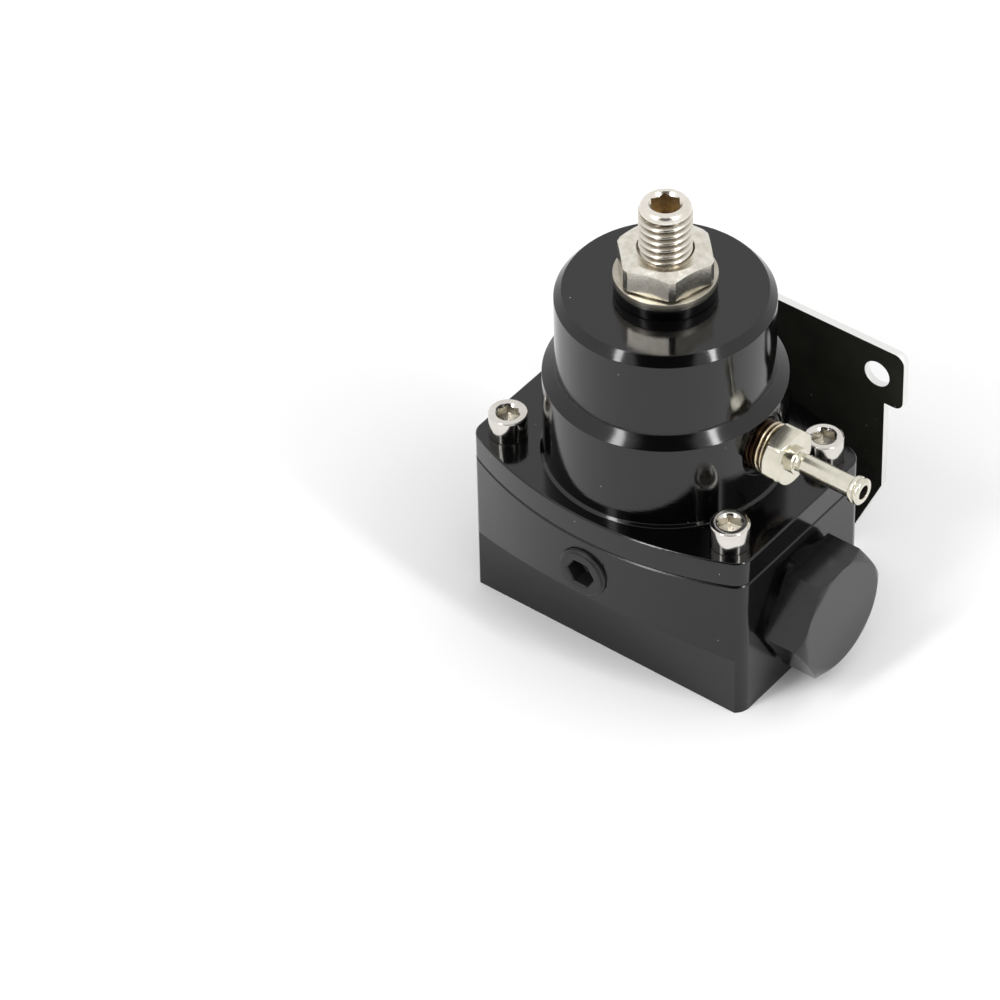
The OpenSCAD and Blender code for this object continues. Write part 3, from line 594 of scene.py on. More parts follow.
class Shell:
    """A mesh under construction about its own Z axis, in millimetres."""

    def __init__(self, steps: int = 120, start: float = 0.0) -> None:
        """Starts an empty mesh.

        Args:
            steps: Number of columns round the axis.
            start: Direction of the first column, in radians.
        """
        self.steps = steps
        self.start = start
        self.mesh = bmesh.new()

    def turn(self, outline: Outline, lead: int = 0, slot: int = 0) -> None:
        """Adds a surface from one outline per direction.

        Args:
            outline: Gives the (radius, height) points for an angle, always as many.
            lead: Rows by which the surface climbs in one turn, for a thread.
            slot: Number of the material on these faces.
        """
        columns = []
        for step in range(self.steps):
            angle = self.start + math.tau * step / self.steps
            columns.append([
                self.mesh.verts.new(polar(radius, angle, height)) for radius, height in outline(angle)
            ])
        for step, here in enumerate(columns):
            there = columns[(step + 1) % self.steps]
            climb = lead if step == self.steps - 1 else 0
            last = len(here) - 1
            for row in range(last):
                across = (there[min(beside + climb, last)] for beside in (row, row + 1))
                face = self.mesh.faces.new(tuple(dict.fromkeys((here[row], *across, here[row + 1]))))
                face.material_index = slot

    def thread(
        self, crest: float, root: float, pitch: float, foot: float, top: float,
        limit: Callable[[float], float], slot: int = 0,
    ) -> None:
        """Adds a right-handed thread with rounded ridges, welded to a plain ring at both ends.

        Args:
            crest: Radius of the ridges.
            root: Radius of the grooves.
            pitch: Climb in one turn.
            foot: Height of the lower end.
            top: Height of the upper end.
            limit: Largest radius at a height, such as an end chamfer.
            slot: Number of the material on these faces.
        """
        rows = math.ceil((top - foot) / pitch * THREAD_ROWS) + 2 * THREAD_ROWS

        def outline(angle: float) -> list[Point]:
            """Draws one column of the thread.

            Args:
                angle: The direction, in radians.

            Returns:
                Its points, from below.
            """
            share = (angle - self.start) / math.tau
            column = []
            for row in range(rows):
                height = foot + pitch * (row / THREAD_ROWS + share - 1)
                ridge = 0.5 - 0.5 * math.cos(math.tau * row / THREAD_ROWS)
                if foot < height < top:
                    column.append((min(root + (crest - root) * ridge, limit(height)), height))
                else:
                    end = min(max(height, foot), top)
                    column.append((min(root, limit(end)), end))
            return column

        self.turn(outline, lead=THREAD_ROWS, slot=slot)

    def piece(
        self, name: str, places: Sequence[Matrix], finishes: Sequence[Finish], sharp: float = SHARP_EDGE
    ) -> Piece:
        """Closes the mesh and makes it an object.

        Args:
            name: Name of the piece.
            places: Where it stands, in metres. Several places give one object of several pieces.
            finishes: The materials, in the order of the faces' slots.
            sharp: Angle from which an edge is shaded sharp, in radians.

        Returns:
            The new object, not yet riding on a body.
        """
        self.mesh.verts.ensure_lookup_table()
        bmesh.ops.remove_doubles(self.mesh, verts=self.mesh.verts, dist=WELD_GAP_MM)
        bmesh.ops.dissolve_degenerate(self.mesh, edges=self.mesh.edges, dist=WELD_GAP_MM)
        bmesh.ops.recalc_face_normals(self.mesh, faces=self.mesh.faces)
        bmesh.ops.scale(self.mesh, verts=self.mesh.verts, vec=(MM, MM, MM))
        single = len(places) == 1
        if not single:
            first = list(self.mesh.verts) + list(self.mesh.edges) + list(self.mesh.faces)
            for place in places[1:]:
                copy = bmesh.ops.duplicate(self.mesh, geom=first)["geom"]
                verts = [item for item in copy if isinstance(item, bmesh.types.BMVert)]
                bmesh.ops.transform(self.mesh, matrix=place, verts=verts)
            verts = [item for item in first if isinstance(item, bmesh.types.BMVert)]
            bmesh.ops.transform(self.mesh, matrix=places[0], verts=verts)
        piece = finished(name, self.mesh, finishes, sharp)
        if single:
            piece.matrix_world = places[0]
        return piece


def upright(x: float = 0.0, y: float = 0.0, z: float = 0.0) -> Matrix:
    """Returns a place with its axis up, from a point in mm."""
    return Matrix.Translation(Vector((x, y, z)) * MM)


def sideways(z: float) -> Matrix:
    """Returns a place with its axis along +X, at a height in mm."""
    return Matrix.Translation(Vector((0.0, 0.0, z * MM))) @ Matrix.Rotation(math.pi / 2, 4, "Y")


def forward(y: float, z: float) -> Matrix:
    """Returns a place with its axis along -Y, from a point in mm."""
    return Matrix.Translation(Vector((0.0, y, z)) * MM) @ Matrix.Rotation(math.pi / 2, 4, "X")


def box_mm(node: str) -> tuple[Vector, Vector]:
    """Returns the lowest and highest corner of a node, in mm."""
    low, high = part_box(node)
    return Vector(low) / MM, Vector(high) / MM


def half_width(node: str) -> float:
    """Returns half of a node's width along X, in mm."""
    low, high = box_mm(node)
    return (high.x - low.x) / 2


def settle(piece: Piece, body: str, slot: str, *nodes: str) -> None:
    """Makes a new piece ride on its body and stand for its nodes.

    Args:
        piece: The new object, in place.
        body: Name of the body that it rides on.
        slot: Not used.
        *nodes: The nodes that it stands for.
    """
    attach(piece, body)
    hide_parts(*nodes)
    log.info("%s stands for %s on %s", piece.name, ", ".join(nodes), body)


def swept(name: str, rings: Sequence[Sequence[Vector]], finish: Finish) -> Piece:
    """Makes a solid piece from rings of points along a path.

    Args:
        name: Name of the piece.
        rings: The rings, each with as many points in mm. The first and last are closed with a face.
        finish: Its surface.

    Returns:
        The new object, not yet on a body.
    """
    mesh = bmesh.new()
    rows = [[mesh.verts.new(point * MM) for point in ring] for ring in rings]
    for here, there in zip(rows, rows[1:]):
        for side in range(len(here)):
            following = (side + 1) % len(here)
            mesh.faces.new((here[side], there[side], there[following], here[following]))
    mesh.faces.new(list(reversed(rows[0])))
    mesh.faces.new(rows[-1])
    bmesh.ops.recalc_face_normals(mesh, faces=mesh.faces)
    return finished(name, mesh, [finish])


def bridge(
    piece: Piece, bodies: tuple[str, str], start: Vector, end: Vector, slot: str, node: str
) -> None:
    """Bakes a new piece's place into its mesh and makes it stand for its node.

    Args:
        piece: The new object, in place.
        bodies: Names of the two bodies that it lies between, which are only logged.
        start: Not used.
        end: Not used.
        slot: Not used.
        node: The node that it stands for.
    """
    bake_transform(piece)
    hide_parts(node)
    log.info("%s stands for %s between %s and %s", piece.name, node, *bodies)


def dress(node: str, finish: Finish, edge_mm: float = 0.0) -> None:
    """Gives a node of the frame its finish, and breaks its sharp edges.

    Args:
        node: Name of the node.
        finish: Its surface.
        edge_mm: Width of the broken edges, or 0 for edges as they are.
    """
    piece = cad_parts[node]
    if not piece.material_slots:
        piece.data.materials.append(finish.material())
    for slot in piece.material_slots:
        slot.material = finish.material()
    if edge_mm:
        weld = piece.modifiers.new("weld", "WELD")
        weld.merge_threshold = WELD_GAP_MM * MM
        edge = piece.modifiers.new("broken_edge", "BEVEL")
        edge.width = edge_mm * MM
        edge.segments = 2
        edge.limit_method = "ANGLE"
        edge.angle_limit = SHARP_EDGE
        edge.use_clamp_overlap = True
        normals = piece.modifiers.new("even_shading", "WEIGHTED_NORMAL")
        normals.keep_sharp = False
    log.info("%s dressed in %s", node, finish.name)


@dataclass
class Housing:
    """Milled base and turned bonnet, with the broken edges of machined parts."""

    edge_mm: float = 0.12

    def build(self) -> None:
        """Dresses the base and the bonnet."""
        dress("base_body", SATIN_BLACK, self.edge_mm)
        dress("bonnet", GLOSS_BLACK, self.edge_mm)


@dataclass
class Adjuster:
    """Set screw with its nut, washer and seal.

    Attributes:
        pitch: Thread pitch.
        root: Radius at the thread's roots.
        tip_radius: Radius of the flat end round the key socket.
        tip_foot: Radius at the foot of the round end.
        tip_height: Height of the round end.
        tip_bends: Number of stretches in the round end.
        key: Its key socket.
        nut_across: Nut width across flats.
        nut_turn: Direction of a nut corner, in degrees.
        nut_blunt: Wear on the nut's corners.
        nut_face: Radius of the nut's flat upper face, where its bevel starts.
        nut_foot: Radius and height of the round face under the nut.
        nut_mouth: Countersink round the nut's thread.
        nut_sharp: Angle from which the nut's edges stay sharp, in degrees.
        edge: Size of the small rounds.
    """

    pitch: float = 1.5
    root: float = 3.9
    tip_radius: float = 3.4
    tip_foot: float = 4.6
    tip_height: float = 1.5
    tip_bends: int = 8
    key: KeySocket = KeySocket(5.0, 3.05, 5.5)
    nut_across: float = 16.0
    nut_turn: float = 14.0
    nut_blunt: float = 0.36
    nut_face: float = 7.0
    nut_foot: Point = (7.6, 0.45)
    nut_mouth: float = 0.35
    nut_sharp: float = 20.0
    edge: float = 0.15

    def build(self) -> None:
        """Makes the four pieces."""
        self.build_screw()
        self.build_nut()
        self.build_ring("lock_washer", "washer", TUMBLED_STEEL, "stainless_steel", self.edge)
        self.build_ring("adjuster_seal", "housing", RUBBER, "black_rubber", 2 * self.edge)

    def build_screw(self) -> None:
        """Makes the threaded set screw with its round end and key socket."""
        low, high = box_mm("adjusting_screw")
        crest = half_width("adjusting_screw")
        ring = high.z - self.tip_height

        def limit(height: float) -> float:
            """Returns the screw's radius inside its lower chamfer."""
            return crest - max(0.0, low.z + crest - self.root - height)

        shell = Shell(120, self.key.turn)
        shell.thread(crest, self.root, self.pitch, low.z, ring, limit)
        rim = [(self.root, ring)]
        for step in range(self.tip_bends + 1):
            bend = math.pi / 2 * step / self.tip_bends
            radius = self.tip_radius + (self.tip_foot - self.tip_radius) * math.cos(bend)
            rim.append((radius, ring + self.edge + (self.tip_height - self.edge) * math.sin(bend)))
        shell.turn(lambda angle: [*rim, *self.key.rim(angle, high.z)], slot=2)
        shell.turn(lambda angle: self.key.walls(angle, high.z), slot=1)
        shell.turn(lambda angle: [(min(self.root, limit(low.z)), low.z), (0.0, low.z)], slot=2)
        finishes = (CUT_THREAD, OILED_SOCKET, CUT_STEEL)
        piece = shell.piece("threaded_adjusting_screw", [upright()], finishes)
        settle(piece, "adjuster", "stainless_steel", "adjusting_screw")

    def build_nut(self) -> None:
        """Makes the low nut with its upper end bevelled and its corners blunted."""
        low, high = box_mm("lock_nut")
        bore = half_width("adjusting_screw")
        turn = math.radians(self.nut_turn)
        side = hexagon(self.nut_across, turn, self.nut_blunt)
        foot, lift = self.nut_foot

        def outline(angle: float) -> list[Point]:
            """Draws the nut's section in one direction.

            Args:
                angle: The direction, in radians.

            Returns:
                Its points, round from the bore.
            """
            across = side(angle)
            drop = (across - self.nut_face) * math.tan(HEX_BEVEL)
            middle = (low.z + high.z) / 2
            return [
                (bore, middle), (bore, low.z + self.nut_mouth), (bore + self.nut_mouth, low.z),
                (foot, low.z), (foot, low.z + lift), (across, low.z + lift), (across, high.z - drop),
                (self.nut_face, high.z), (bore + self.nut_mouth, high.z), (bore, high.z - self.nut_mouth),
                (bore, middle),
            ]

        shell = Shell(180, turn)
        shell.turn(outline)
        piece = shell.piece("bevelled_lock_nut", [upright()], [FORMED_STEEL], math.radians(self.nut_sharp))
        settle(piece, "nut", "stainless_steel", "lock_nut")

    def build_ring(self, node: str, body: str, finish: Finish, slot: str, edge: float) -> None:
        """Makes a flat ring with rounded edges.

        Args:
            node: The node that it stands for.
            body: The body that it rides on.
            finish: Its surface.
            slot: The record's material slot.
            edge: Size of its rounds.
        """
        low, high = box_mm(node)
        outer = half_width(node)
        bore = half_width("adjusting_screw") + self.edge / 3
        middle = (low.z + high.z) / 2
        outline = eased([
            (bore, middle), (bore, low.z), (outer, low.z), (outer, high.z), (bore, high.z), (bore, middle),
        ], edge)
        shell = Shell(144)
        shell.turn(lambda angle: outline)
        settle(shell.piece(f"rounded_{node}", [upright()], [finish]), body, slot, node)


@dataclass
class FlangeScrews:
    """Four socket head screws in the bonnet's flange.

    Attributes:
        head_radius: Radius of a head.
        head_height: Height of a head.
        edge: Round of the head's upper edge.
        key: Key socket of a head.
        shank: Outer radius of the thread.
        root: Radius at the thread's roots.
        pitch: Thread pitch.
    """

    head_radius: float = 3.6
    head_height: float = 4.9
    edge: float = 0.45
    key: KeySocket = KeySocket(3.8, 2.4, 2.2)
    shank: float = 2.0
    root: float = 1.65
    pitch: float = 0.7

    def build(self) -> None:
        """Makes the four screws as one piece."""
        low, high = box_mm("flange_screws")
        seat = high.z - self.head_height - low.z
        top = seat + self.head_height

        def limit(height: float) -> float:
            """Returns the shank's radius inside its end chamfer."""
            return self.shank - max(0.0, self.edge - height)

        def head(angle: float) -> list[Point]:
            """Returns the head from the shank to the socket's mouth."""
            return eased([
                (self.root, seat), (self.head_radius, seat), (self.head_radius, top - self.edge / 3),
                (self.head_radius - self.edge, top), *self.key.rim(angle, top),
            ], self.edge / 2)

        shell = Shell(72, self.key.turn)
        shell.thread(self.shank, self.root, self.pitch, 0.0, seat, limit)
        shell.turn(head)
        shell.turn(lambda angle: self.key.walls(angle, top), slot=1)
        shell.turn(lambda angle: [(min(self.root, limit(0.0)), 0.0), (0.0, 0.0)])
        inset = self.head_radius
        places = [
            upright(x, y, low.z)
            for x in (low.x + inset, high.x - inset) for y in (low.y + inset, high.y - inset)
        ]
        piece = shell.piece("socket_head_screws", places, [POLISHED_STEEL, DRY_SOCKET])
        settle(piece, "housing", "stainless_steel", "flange_screws")


@dataclass
class VacuumNipple:
    """Screwed nipple with a hexagon and a beaded hose tail.

    Attributes:
        thread: Outer radius of the thread.
        root: Radius at the thread's roots.
        pitch: Thread pitch.
        across: Hexagon width across flats.
        hex_turn: Direction of a hexagon corner, in degrees.
        hex_length: Length of the hexagon.
        tail_length: Length from the hexagon to the end.
        collar: Radius and length of the collar behind the tail.
        relief: Radius and length of the groove after the collar.
        tail: Radius of the tail.
        bead: Radius of the two beads.
        bead_length: Length of one bead.
        groove_length: Length of the groove between the beads.
        bore: Radius of the bore.
        lead_in: Size of the chamfer on the thread's end.
        edge: Size of the small rounds.
    """

    thread: float = 4.9
    root: float = 4.35
    pitch: float = 0.94
    across: float = 10.2
    hex_turn: float = 42.7
    hex_length: float = 3.7
    tail_length: float = 14.8
    collar: Point = (2.5, 1.0)
    relief: Point = (1.75, 1.0)
    tail: float = 1.95
    bead: float = 2.5
    bead_length: float = 0.9
    groove_length: float = 0.4
    bore: float = 1.35
    lead_in: float = 0.8
    edge: float = 0.14

    def build(self) -> None:
        """Makes the nipple."""
        low, high = box_mm("vacuum_nipple")
        hex_end = high.x - self.tail_length
        hex_foot = hex_end - self.hex_length
        turn = math.radians(self.hex_turn)
        side = hexagon(self.across, turn, self.edge)
        face = self.across / 2 - self.edge
        shell = Shell(120, turn)
        shell.thread(
            self.thread, self.root, self.pitch, low.x, hex_foot,
            lambda height: self.thread - max(0.0, low.x + self.lead_in - height), slot=1,
        )

        def hex_part(angle: float) -> list[Point]:
            """Draws the hexagon's section in one direction.

            Args:
                angle: The direction, in radians.

            Returns:
                Its points, from the thread to the collar.
            """
            across = side(angle)
            drop = (across - face) * math.tan(HEX_BEVEL)
            return eased([
                (self.root, hex_foot), (face, hex_foot), (across, hex_foot + drop), (across, hex_end - drop),
                (face, hex_end), (self.collar[0], hex_end),
            ], self.edge)

        neck = hex_end + self.collar[1]
        tail = neck + self.relief[1]
        end_bead = high.x - self.bead_length
        groove = end_bead - self.groove_length
        bead = groove - self.bead_length
        groove_radius = (self.tail + self.bead) / 2
        tail_part = eased([
            (self.collar[0], hex_end), (self.collar[0], neck), (self.relief[0], neck), (self.relief[0], tail),
            (self.tail, tail + self.edge), (self.tail, bead), (self.bead, bead + self.edge),
            (self.bead, groove), (groove_radius, groove + self.edge),
            (groove_radius, end_bead - self.edge), (self.bead, end_bead),
            (self.bead, high.x - 2 * self.edge), (self.bead - 3 * self.edge, high.x),
            (self.bore + self.edge, high.x), (self.bore, high.x - self.edge),
        ], self.edge)
        shell.turn(hex_part)
        shell.turn(lambda angle: tail_part)
        shell.turn(lambda angle: [(self.bore, high.x - self.edge), (self.bore, low.x)], slot=2)
        shell.turn(lambda angle: [(self.bore, low.x), (min(self.root, self.thread - self.lead_in), low.x)])
        place = sideways((low.z + high.z) / 2)
        piece = shell.piece("hose_tail_nipple", [place], [NICKEL, NICKEL_THREAD, DRILLED_BORE])
        settle(piece, "housing", "nickel_plated_brass", "vacuum_nipple")


@dataclass
class PortPlugs:
    """Plug in the gauge port, and hexagon plug with its ring in the side inlet.

    Attributes:
        root: Radius at the gauge plug's thread roots.
        pitch: Its thread pitch.
        chamfer: Size of the chamfer on its outer end.
        key: Key width across flats.
        key_depth: Depth of the key socket.
        edge: Size of the small rounds.
        hex_edge_mm: Broken edge of the hexagon plug.
    """

    root: float = 4.5
    pitch: float = 0.94
    chamfer: float = 0.5
    key: float = 5.0
    key_depth: float = 3.5
    edge: float = 0.15
    hex_edge_mm: float = 0.1

    def build(self) -> None:
        """Makes the gauge plug and dresses the side plug."""
        low, high = box_mm("gauge_port_plug")
        crest = half_width("gauge_port_plug")
        length = high.y - low.y
        socket = hexagon(self.key, 0.0)

        def limit(height: float) -> float:
            """Keeps the plug inside its end chamfers.

            Args:
                height: Height on the plug's axis, in mm.

            Returns:
                The largest radius there, in mm.
            """
            inner = max(0.0, self.chamfer - length - height)
            outer = max(0.0, height + self.chamfer)
            return crest - inner - outer

        shell = Shell(120)
        ring = -self.chamfer + crest - self.root
        shell.thread(crest, self.root, self.pitch, -length, ring, limit)
        floor = -self.key_depth
        shell.turn(lambda angle: eased([
            (min(self.root, limit(ring)), ring), (crest - self.chamfer, 0.0),
            (socket(angle) + 2 * self.edge, 0.0), (socket(angle), -2 * self.edge), (socket(angle), floor),
            (self.key / 2, floor), (0.0, floor - self.key / 2 * math.tan(DRILL_POINT)),
        ], self.edge))
        shell.turn(lambda angle: [(min(self.root, limit(-length)), -length), (0.0, -length)])
        place = forward(low.y, (low.z + high.z) / 2)
        piece = shell.piece("threaded_gauge_plug", [place], [BLACK_OXIDE])
        settle(piece, "housing", "black_oxide_steel", "gauge_port_plug")
        dress("side_port_plug", MATT_BLACK, self.hex_edge_mm)
        dress("side_plug_ring", RUBBER)


@dataclass
class Bracket:
    """Folded sheet bracket with its two foot screws."""

    edge_mm: float = 0.08

    def build(self) -> None:
        """Dresses the sheet and the screws."""
        dress("mounting_bracket", COATED_SHEET, self.edge_mm)
        dress("bracket_screws", BLACK_OXIDE)


@dataclass
class Mechanism:
    """Diaphragm, valve and spring inside the housing.

    Attributes:
        cloth: Thickness of the diaphragm.
        hole: Radius of its hole for the valve's stem.
        fold_gap: Gap between its fold and the spring plate.
        sectors: Number of sectors that it is made in.
        columns: Columns in one sector.
        bends: Points on each half-round of the fold.
        wire: Radius of the spring's wire.
        turns: Number of its turns.
        close_gap: Gap between its closed end turns.
        ground: Share of the wire's radius that is left below its centre at the ends.
        steps: Rings of the wire in one turn.
        sides: Points round the wire.
        still_turn: Turn of the wire, from the lower end, that no joint moves.
    """

    cloth: float = 0.8
    hole: float = 2.25
    fold_gap: float = 0.4
    sectors: int = 24
    columns: int = 4
    bends: int = 12
    wire: float = 1.25
    turns: int = 5
    close_gap: float = 0.05
    ground: float = 0.3
    steps: int = 60
    sides: int = 20
    still_turn: float = 1.25

    def build(self) -> None:
        """Dresses the inner pieces, folds the diaphragm and winds the spring."""
        for node in ("spring_plate", "lower_plate", "stem_nut", "spring_button"):
            dress(node, ZINC)
        for node in ("valve_poppet", "valve_seat"):
            dress(node, BRASS)
        dress("seat_ring", RUBBER)
        dress("thrust_ball", BALL_STEEL)
        self.build_diaphragm()
        self.build_spring()

    def build_diaphragm(self) -> None:
        """Folds the diaphragm's section, from the hole for the valve's stem to its rim, and makes it in
        sectors.
        """
        low, high = box_mm("diaphragm")
        fold = high.z - low.z
        middle = box_mm("spring_plate")[1].x + self.fold_gap + fold
        top = low.z + self.cloth
        rim = half_width("diaphragm")
        lean = math.asin(self.cloth / fold)
        section = [(self.hole, low.z)]
        for bend in range(self.bends + 1):
            angle = math.pi * (1 - bend / self.bends)
            inside = fold - self.cloth
            section.append((middle + inside * math.cos(angle), low.z + inside * math.sin(angle)))
        section += [(rim, low.z), (rim, top)]
        for bend in range(self.bends + 1):
            angle = lean + (math.pi - 2 * lean) * bend / self.bends
            section.append((middle + fold * math.cos(angle), low.z + fold * math.sin(angle)))
        section.append((self.hole, top))
        width = math.tau / self.sectors
        reach = fold - self.cloth / 2
        for sector in range(self.sectors):
            angles = [width * (sector + column / (self.columns - 1)) for column in range(self.columns)]
            rings = [[polar(radius, angle, height) for radius, height in section] for angle in angles]
            piece = swept(f"diaphragm_sector_{sector + 1:02d}", rings, RUBBER_CLOTH)
            towards = polar(1.0, width * (sector + 0.5), 0.0)
            bridge(
                piece, ("housing", "valve"), towards * (middle + reach), towards * (middle - reach),
                "nitrile_fabric", "diaphragm",
            )

    def wire_height(self, turn: float, length: float) -> float:
        """Gives the height of the wire's centre.

        Args:
            turn: Turns from the lower end.
            length: Length of the spring, in mm.

        Returns:
            Height above the lower end, in mm.
        """
        end = self.ground * self.wire
        close = 2 * self.wire + self.close_gap
        rise = length - 2 * end
        spread = (rise - 2 * close) / (self.turns - 2)
        if turn < 1:
            return end + close * turn
        if turn < self.turns - 1:
            return end + close + spread * (turn - 1)
        return end + rise - close * (self.turns - turn)

    def build_spring(self) -> None:
        """Winds the spring as a round wire with ground ends, in two pieces that meet at the still turn."""
        low, high = box_mm("pressure_spring")
        length = high.z - low.z
        coil = half_width("pressure_spring") - self.wire
        rings = []
        for step in range(self.steps * self.turns + 1):
            angle = math.tau * step / self.steps
            middle = self.wire_height(step / self.steps, length)
            ring = []
            for side in range(self.sides):
                around = math.tau * side / self.sides
                height = min(max(middle + self.wire * math.sin(around), 0.0), length)
                ring.append(polar(coil + self.wire * math.cos(around), angle, low.z + height))
            rings.append(ring)
        cut = round(self.still_turn * self.steps)
        still = low.z + self.wire_height(self.still_turn, length)
        ends = (
            ("pressure_spring_foot", rings[:cut + 1], ("valve", "housing"), low.z, still - self.wire),
            ("pressure_spring_coils", rings[cut:], ("housing", "spring_seat"), still + self.wire, high.z),
        )
        for name, wound, bodies, below, above in ends:
            piece = swept(name, wound, SPRING_WIRE)
            heights = (Vector((0.0, 0.0, height)) for height in (below, above))
            bridge(piece, bodies, *heights, "spring_steel", "pressure_spring")


@dataclass(frozen=True)
class Softbox:
    """A rectangular studio light that faces the part.

    Attributes:
        name: Name of the light.
        azimuth: Degrees from the front towards +X.
        elevation: Degrees above the floor.
        distance: Metres from the part.
        width: Metres across.
        height: Metres up.
        radiance: Brightness of its face, where a lit white floor is about 1.
        lean: Degrees by which it leans towards a smaller azimuth.
        mirrored: Whether it shows in the part's shine.
    """

    name: str
    azimuth: float
    elevation: float
    distance: float
    width: float
    height: float
    radiance: float
    lean: float = 0.0
    mirrored: bool = True

    def build(self, target: Vector) -> None:
        """Hangs the light.

        Args:
            target: The point that it faces, in metres.
        """
        lamp = bpy.data.lights.new(self.name, "AREA")
        lamp.shape = "RECTANGLE"
        lamp.size = self.width
        lamp.size_y = self.height
        lamp.energy = self.radiance * math.pi * self.width * self.height
        light = bpy.data.objects.new(self.name, lamp)
        away = aim(self.azimuth, self.elevation)
        light.location = target + away * self.distance
        level = away.to_track_quat("Z", "Y").to_matrix()
        light.rotation_euler = (level @ Matrix.Rotation(math.radians(self.lean), 3, "Z")).to_euler()
        light.visible_camera = False
        light.visible_glossy = self.mirrored
        bpy.context.scene.collection.objects.link(light)


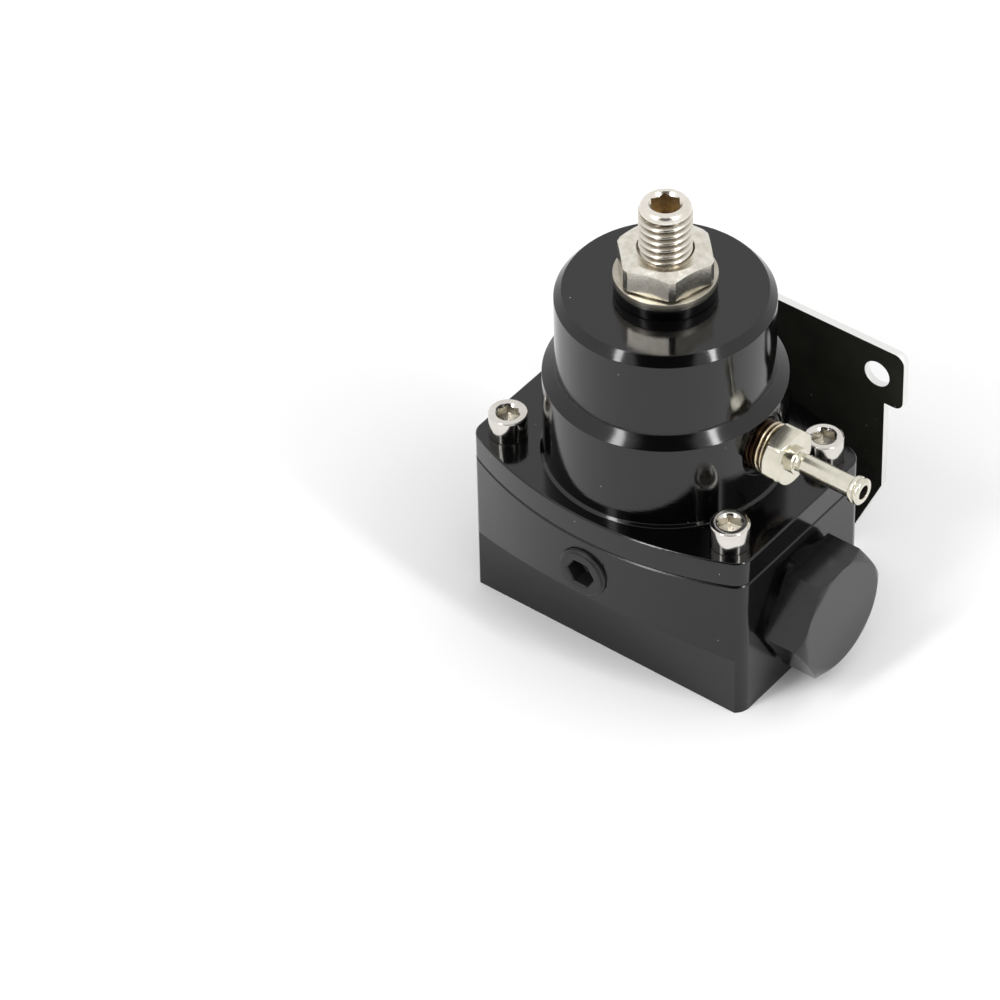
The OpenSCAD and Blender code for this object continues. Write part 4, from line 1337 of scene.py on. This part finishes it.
@dataclass(frozen=True)
class Studio:
    """White table, pale surroundings, two strip lights and a broad fill from the rear.

    Attributes:
        floor_size: Metres along the table.
        plain_from: Metres from the part at which the table starts to fade to plain white.
        plain_to: Metres from the part at which it is plain white.
        ambient: Level of the light from all round.
        dark_side: Azimuth and elevation of the unlit front of the room, in degrees.
        dark_level: How bright that side is.
        dark_from: Cosine of the angle from it at which the room is white again.
        dark_to: Cosine of the angle from it at which the room is darkest.
    """

    floor_size: float = 4.0
    plain_from: float = 0.16
    plain_to: float = 0.5
    ambient: float = 0.62
    dark_side: tuple[float, float] = (36.0, 45.5)
    dark_level: float = 0.01
    dark_from: float = 0.888
    dark_to: float = 0.922
    lights: tuple[Softbox, ...] = (
        Softbox("left_strip", -14.8, 45.0, 1.1, 0.12, 0.8, 12.5, lean=11.0),
        Softbox("right_strip", 88.0, 45.0, 1.1, 0.09, 0.8, 17.0, lean=-12.0),
        Softbox("rear_fill", 125.0, 68.0, 1.5, 1.2, 1.2, 0.8, mirrored=False),
    )

    def build(self) -> None:
        """Sets up floor, world and lights."""
        low, high = (Vector(corner) for corner in cad_box)
        self.build_floor(low.z)
        self.build_world()
        for light in self.lights:
            light.build((low + high) / 2)

    def build_floor(self, height: float) -> None:
        """Lays the white table under the part.

        Args:
            height: Height of the part's lowest point, in metres.
        """
        half = self.floor_size / 2
        data = bpy.data.meshes.new("white_table")
        data.from_pydata(
            [(-half, -half, height), (half, -half, height), (half, half, height), (-half, half, height)], [],
            [(0, 1, 2, 3)],
        )
        paint = bpy.data.materials.new("matt_white_table_paint")
        paint.use_nodes = True
        tree = paint.node_tree
        surface = tree.nodes["Principled BSDF"]
        surface.inputs["Roughness"].default_value = 0.9
        surface.inputs["Specular IOR Level"].default_value = 0.0
        seen = self.seen_ray(tree)
        greys = {6: linear("#e4e4e4"), 7: linear("#ffffff")}
        white = add_node(tree, "Mix", greys, {0: seen}, data_type="RGBA")
        tree.links.new(white.outputs[2], surface.inputs["Base Color"])
        place = add_node(tree, "TexCoord").outputs["Object"]
        away = add_node(tree, "VectorMath", links={0: place}, operation="LENGTH")
        span = {"From Min": self.plain_from, "From Max": self.plain_to}
        fade = add_node(
            tree, "MapRange", span, {"Value": away.outputs["Value"]}, interpolation_type="SMOOTHSTEP"
        )
        share = add_node(tree, "Math", links={0: fade, 1: seen}, operation="MULTIPLY")
        plain = add_node(tree, "Emission", {"Color": linear("#ffffff"), "Strength": 1.0})
        mix = add_node(tree, "MixShader", links={0: share, 1: surface, 2: plain})
        tree.links.new(mix.outputs[0], tree.nodes["Material Output"].inputs["Surface"])
        data.materials.append(paint)
        floor = bpy.data.objects.new("white_table", data)
        bpy.context.scene.collection.objects.link(floor)

    def seen_ray(self, tree: Tree) -> Socket:
        """Tells rays that show the studio from rays that light the part.

        Args:
            tree: The node tree of the floor or the world.

        Returns:
            An output that is 1 for camera, glossy and transmission rays.
        """
        rays = add_node(tree, "LightPath").outputs
        mirrors = {0: rays["Is Glossy Ray"], 1: rays["Is Transmission Ray"]}
        mirror = add_node(tree, "Math", links=mirrors, operation="MAXIMUM")
        seen = {0: rays["Is Camera Ray"], 1: mirror}
        return add_node(tree, "Math", links=seen, operation="MAXIMUM").outputs[0]

    def build_world(self) -> None:
        """Surrounds the part with a white room that is unlit at the front."""
        world = bpy.data.worlds.new("studio")
        bpy.context.scene.world = world
        world.use_nodes = True
        tree = world.node_tree
        tree.nodes.clear()
        where = add_node(tree, "TexCoord").outputs["Generated"]
        facing = add_node(tree, "VectorMath", {1: aim(*self.dark_side)}, {0: where}, operation="DOT_PRODUCT")
        span = {
            "From Min": self.dark_from, "From Max": self.dark_to, "To Min": 1.0, "To Max": self.dark_level,
        }
        level = add_node(
            tree, "MapRange", span, {"Value": facing.outputs["Value"]}, interpolation_type="SMOOTHSTEP"
        )
        camera = add_node(tree, "LightPath").outputs["Is Camera Ray"]
        shown = add_node(tree, "Math", links={0: level, 1: camera}, operation="MAXIMUM")
        room = add_node(tree, "Background", {"Color": linear("#ffffff")}, {"Strength": shown})
        light = add_node(tree, "Background", {"Color": linear("#ffffff"), "Strength": self.ambient})
        mix = add_node(tree, "MixShader", links={0: self.seen_ray(tree), 1: light, 2: room})
        add_node(tree, "OutputWorld", links={"Surface": mix})


@dataclass(frozen=True)
class PhotoCamera:
    """The photograph's viewpoint.

    Attributes:
        azimuth: Degrees from the front towards +X.
        elevation: Degrees above the floor.
        roll: Degrees of tilt about the view.
        distance: Metres from the part's origin.
        aside: Metres to the right of the origin.
        above: Metres above the origin, in the picture.
        lens: Focal length in mm on a 36 mm wide picture.
    """

    azimuth: float = 38.709
    elevation: float = 42.221
    roll: float = -1.4662
    distance: float = 1.07662
    aside: float = -0.029908
    above: float = 0.017594
    lens: float = 211.4

    def build(self) -> None:
        """Sets up the camera and makes it the scene's own."""
        roll = math.radians(self.roll)
        back = aim(self.azimuth, self.elevation)
        right = polar(1.0, math.radians(self.azimuth), 0.0)
        up = back.cross(right)
        place = back * self.distance + right * self.aside + up * self.above
        level_right = right * math.cos(roll) + up * math.sin(roll)
        level_up = up * math.cos(roll) - right * math.sin(roll)
        data = bpy.data.cameras.new("photo_camera")
        data.sensor_fit = "HORIZONTAL"
        data.sensor_width = 36.0
        data.lens = self.lens
        data.clip_start = 0.05
        data.clip_end = 20.0
        camera = bpy.data.objects.new("photo_camera", data)
        axes = Matrix((level_right, level_up, back)).transposed().to_4x4()
        camera.matrix_world = Matrix.Translation(place) @ axes
        bpy.context.scene.collection.objects.link(camera)
        bpy.context.scene.camera = camera


def main() -> None:
    """Builds the camera, the studio and every sub-assembly."""
    logging.basicConfig(level=logging.INFO, format="%(name)s: %(message)s")
    bpy.context.scene.view_settings.view_transform = "Standard"
    PhotoCamera().build()
    Studio().build()
    for assembly in (Housing, Adjuster, FlangeScrews, VacuumNipple, PortPlugs, Bracket, Mechanism):
        assembly().build()
    bpy.context.view_layer.update()


if __name__ == "__main__":
    main()
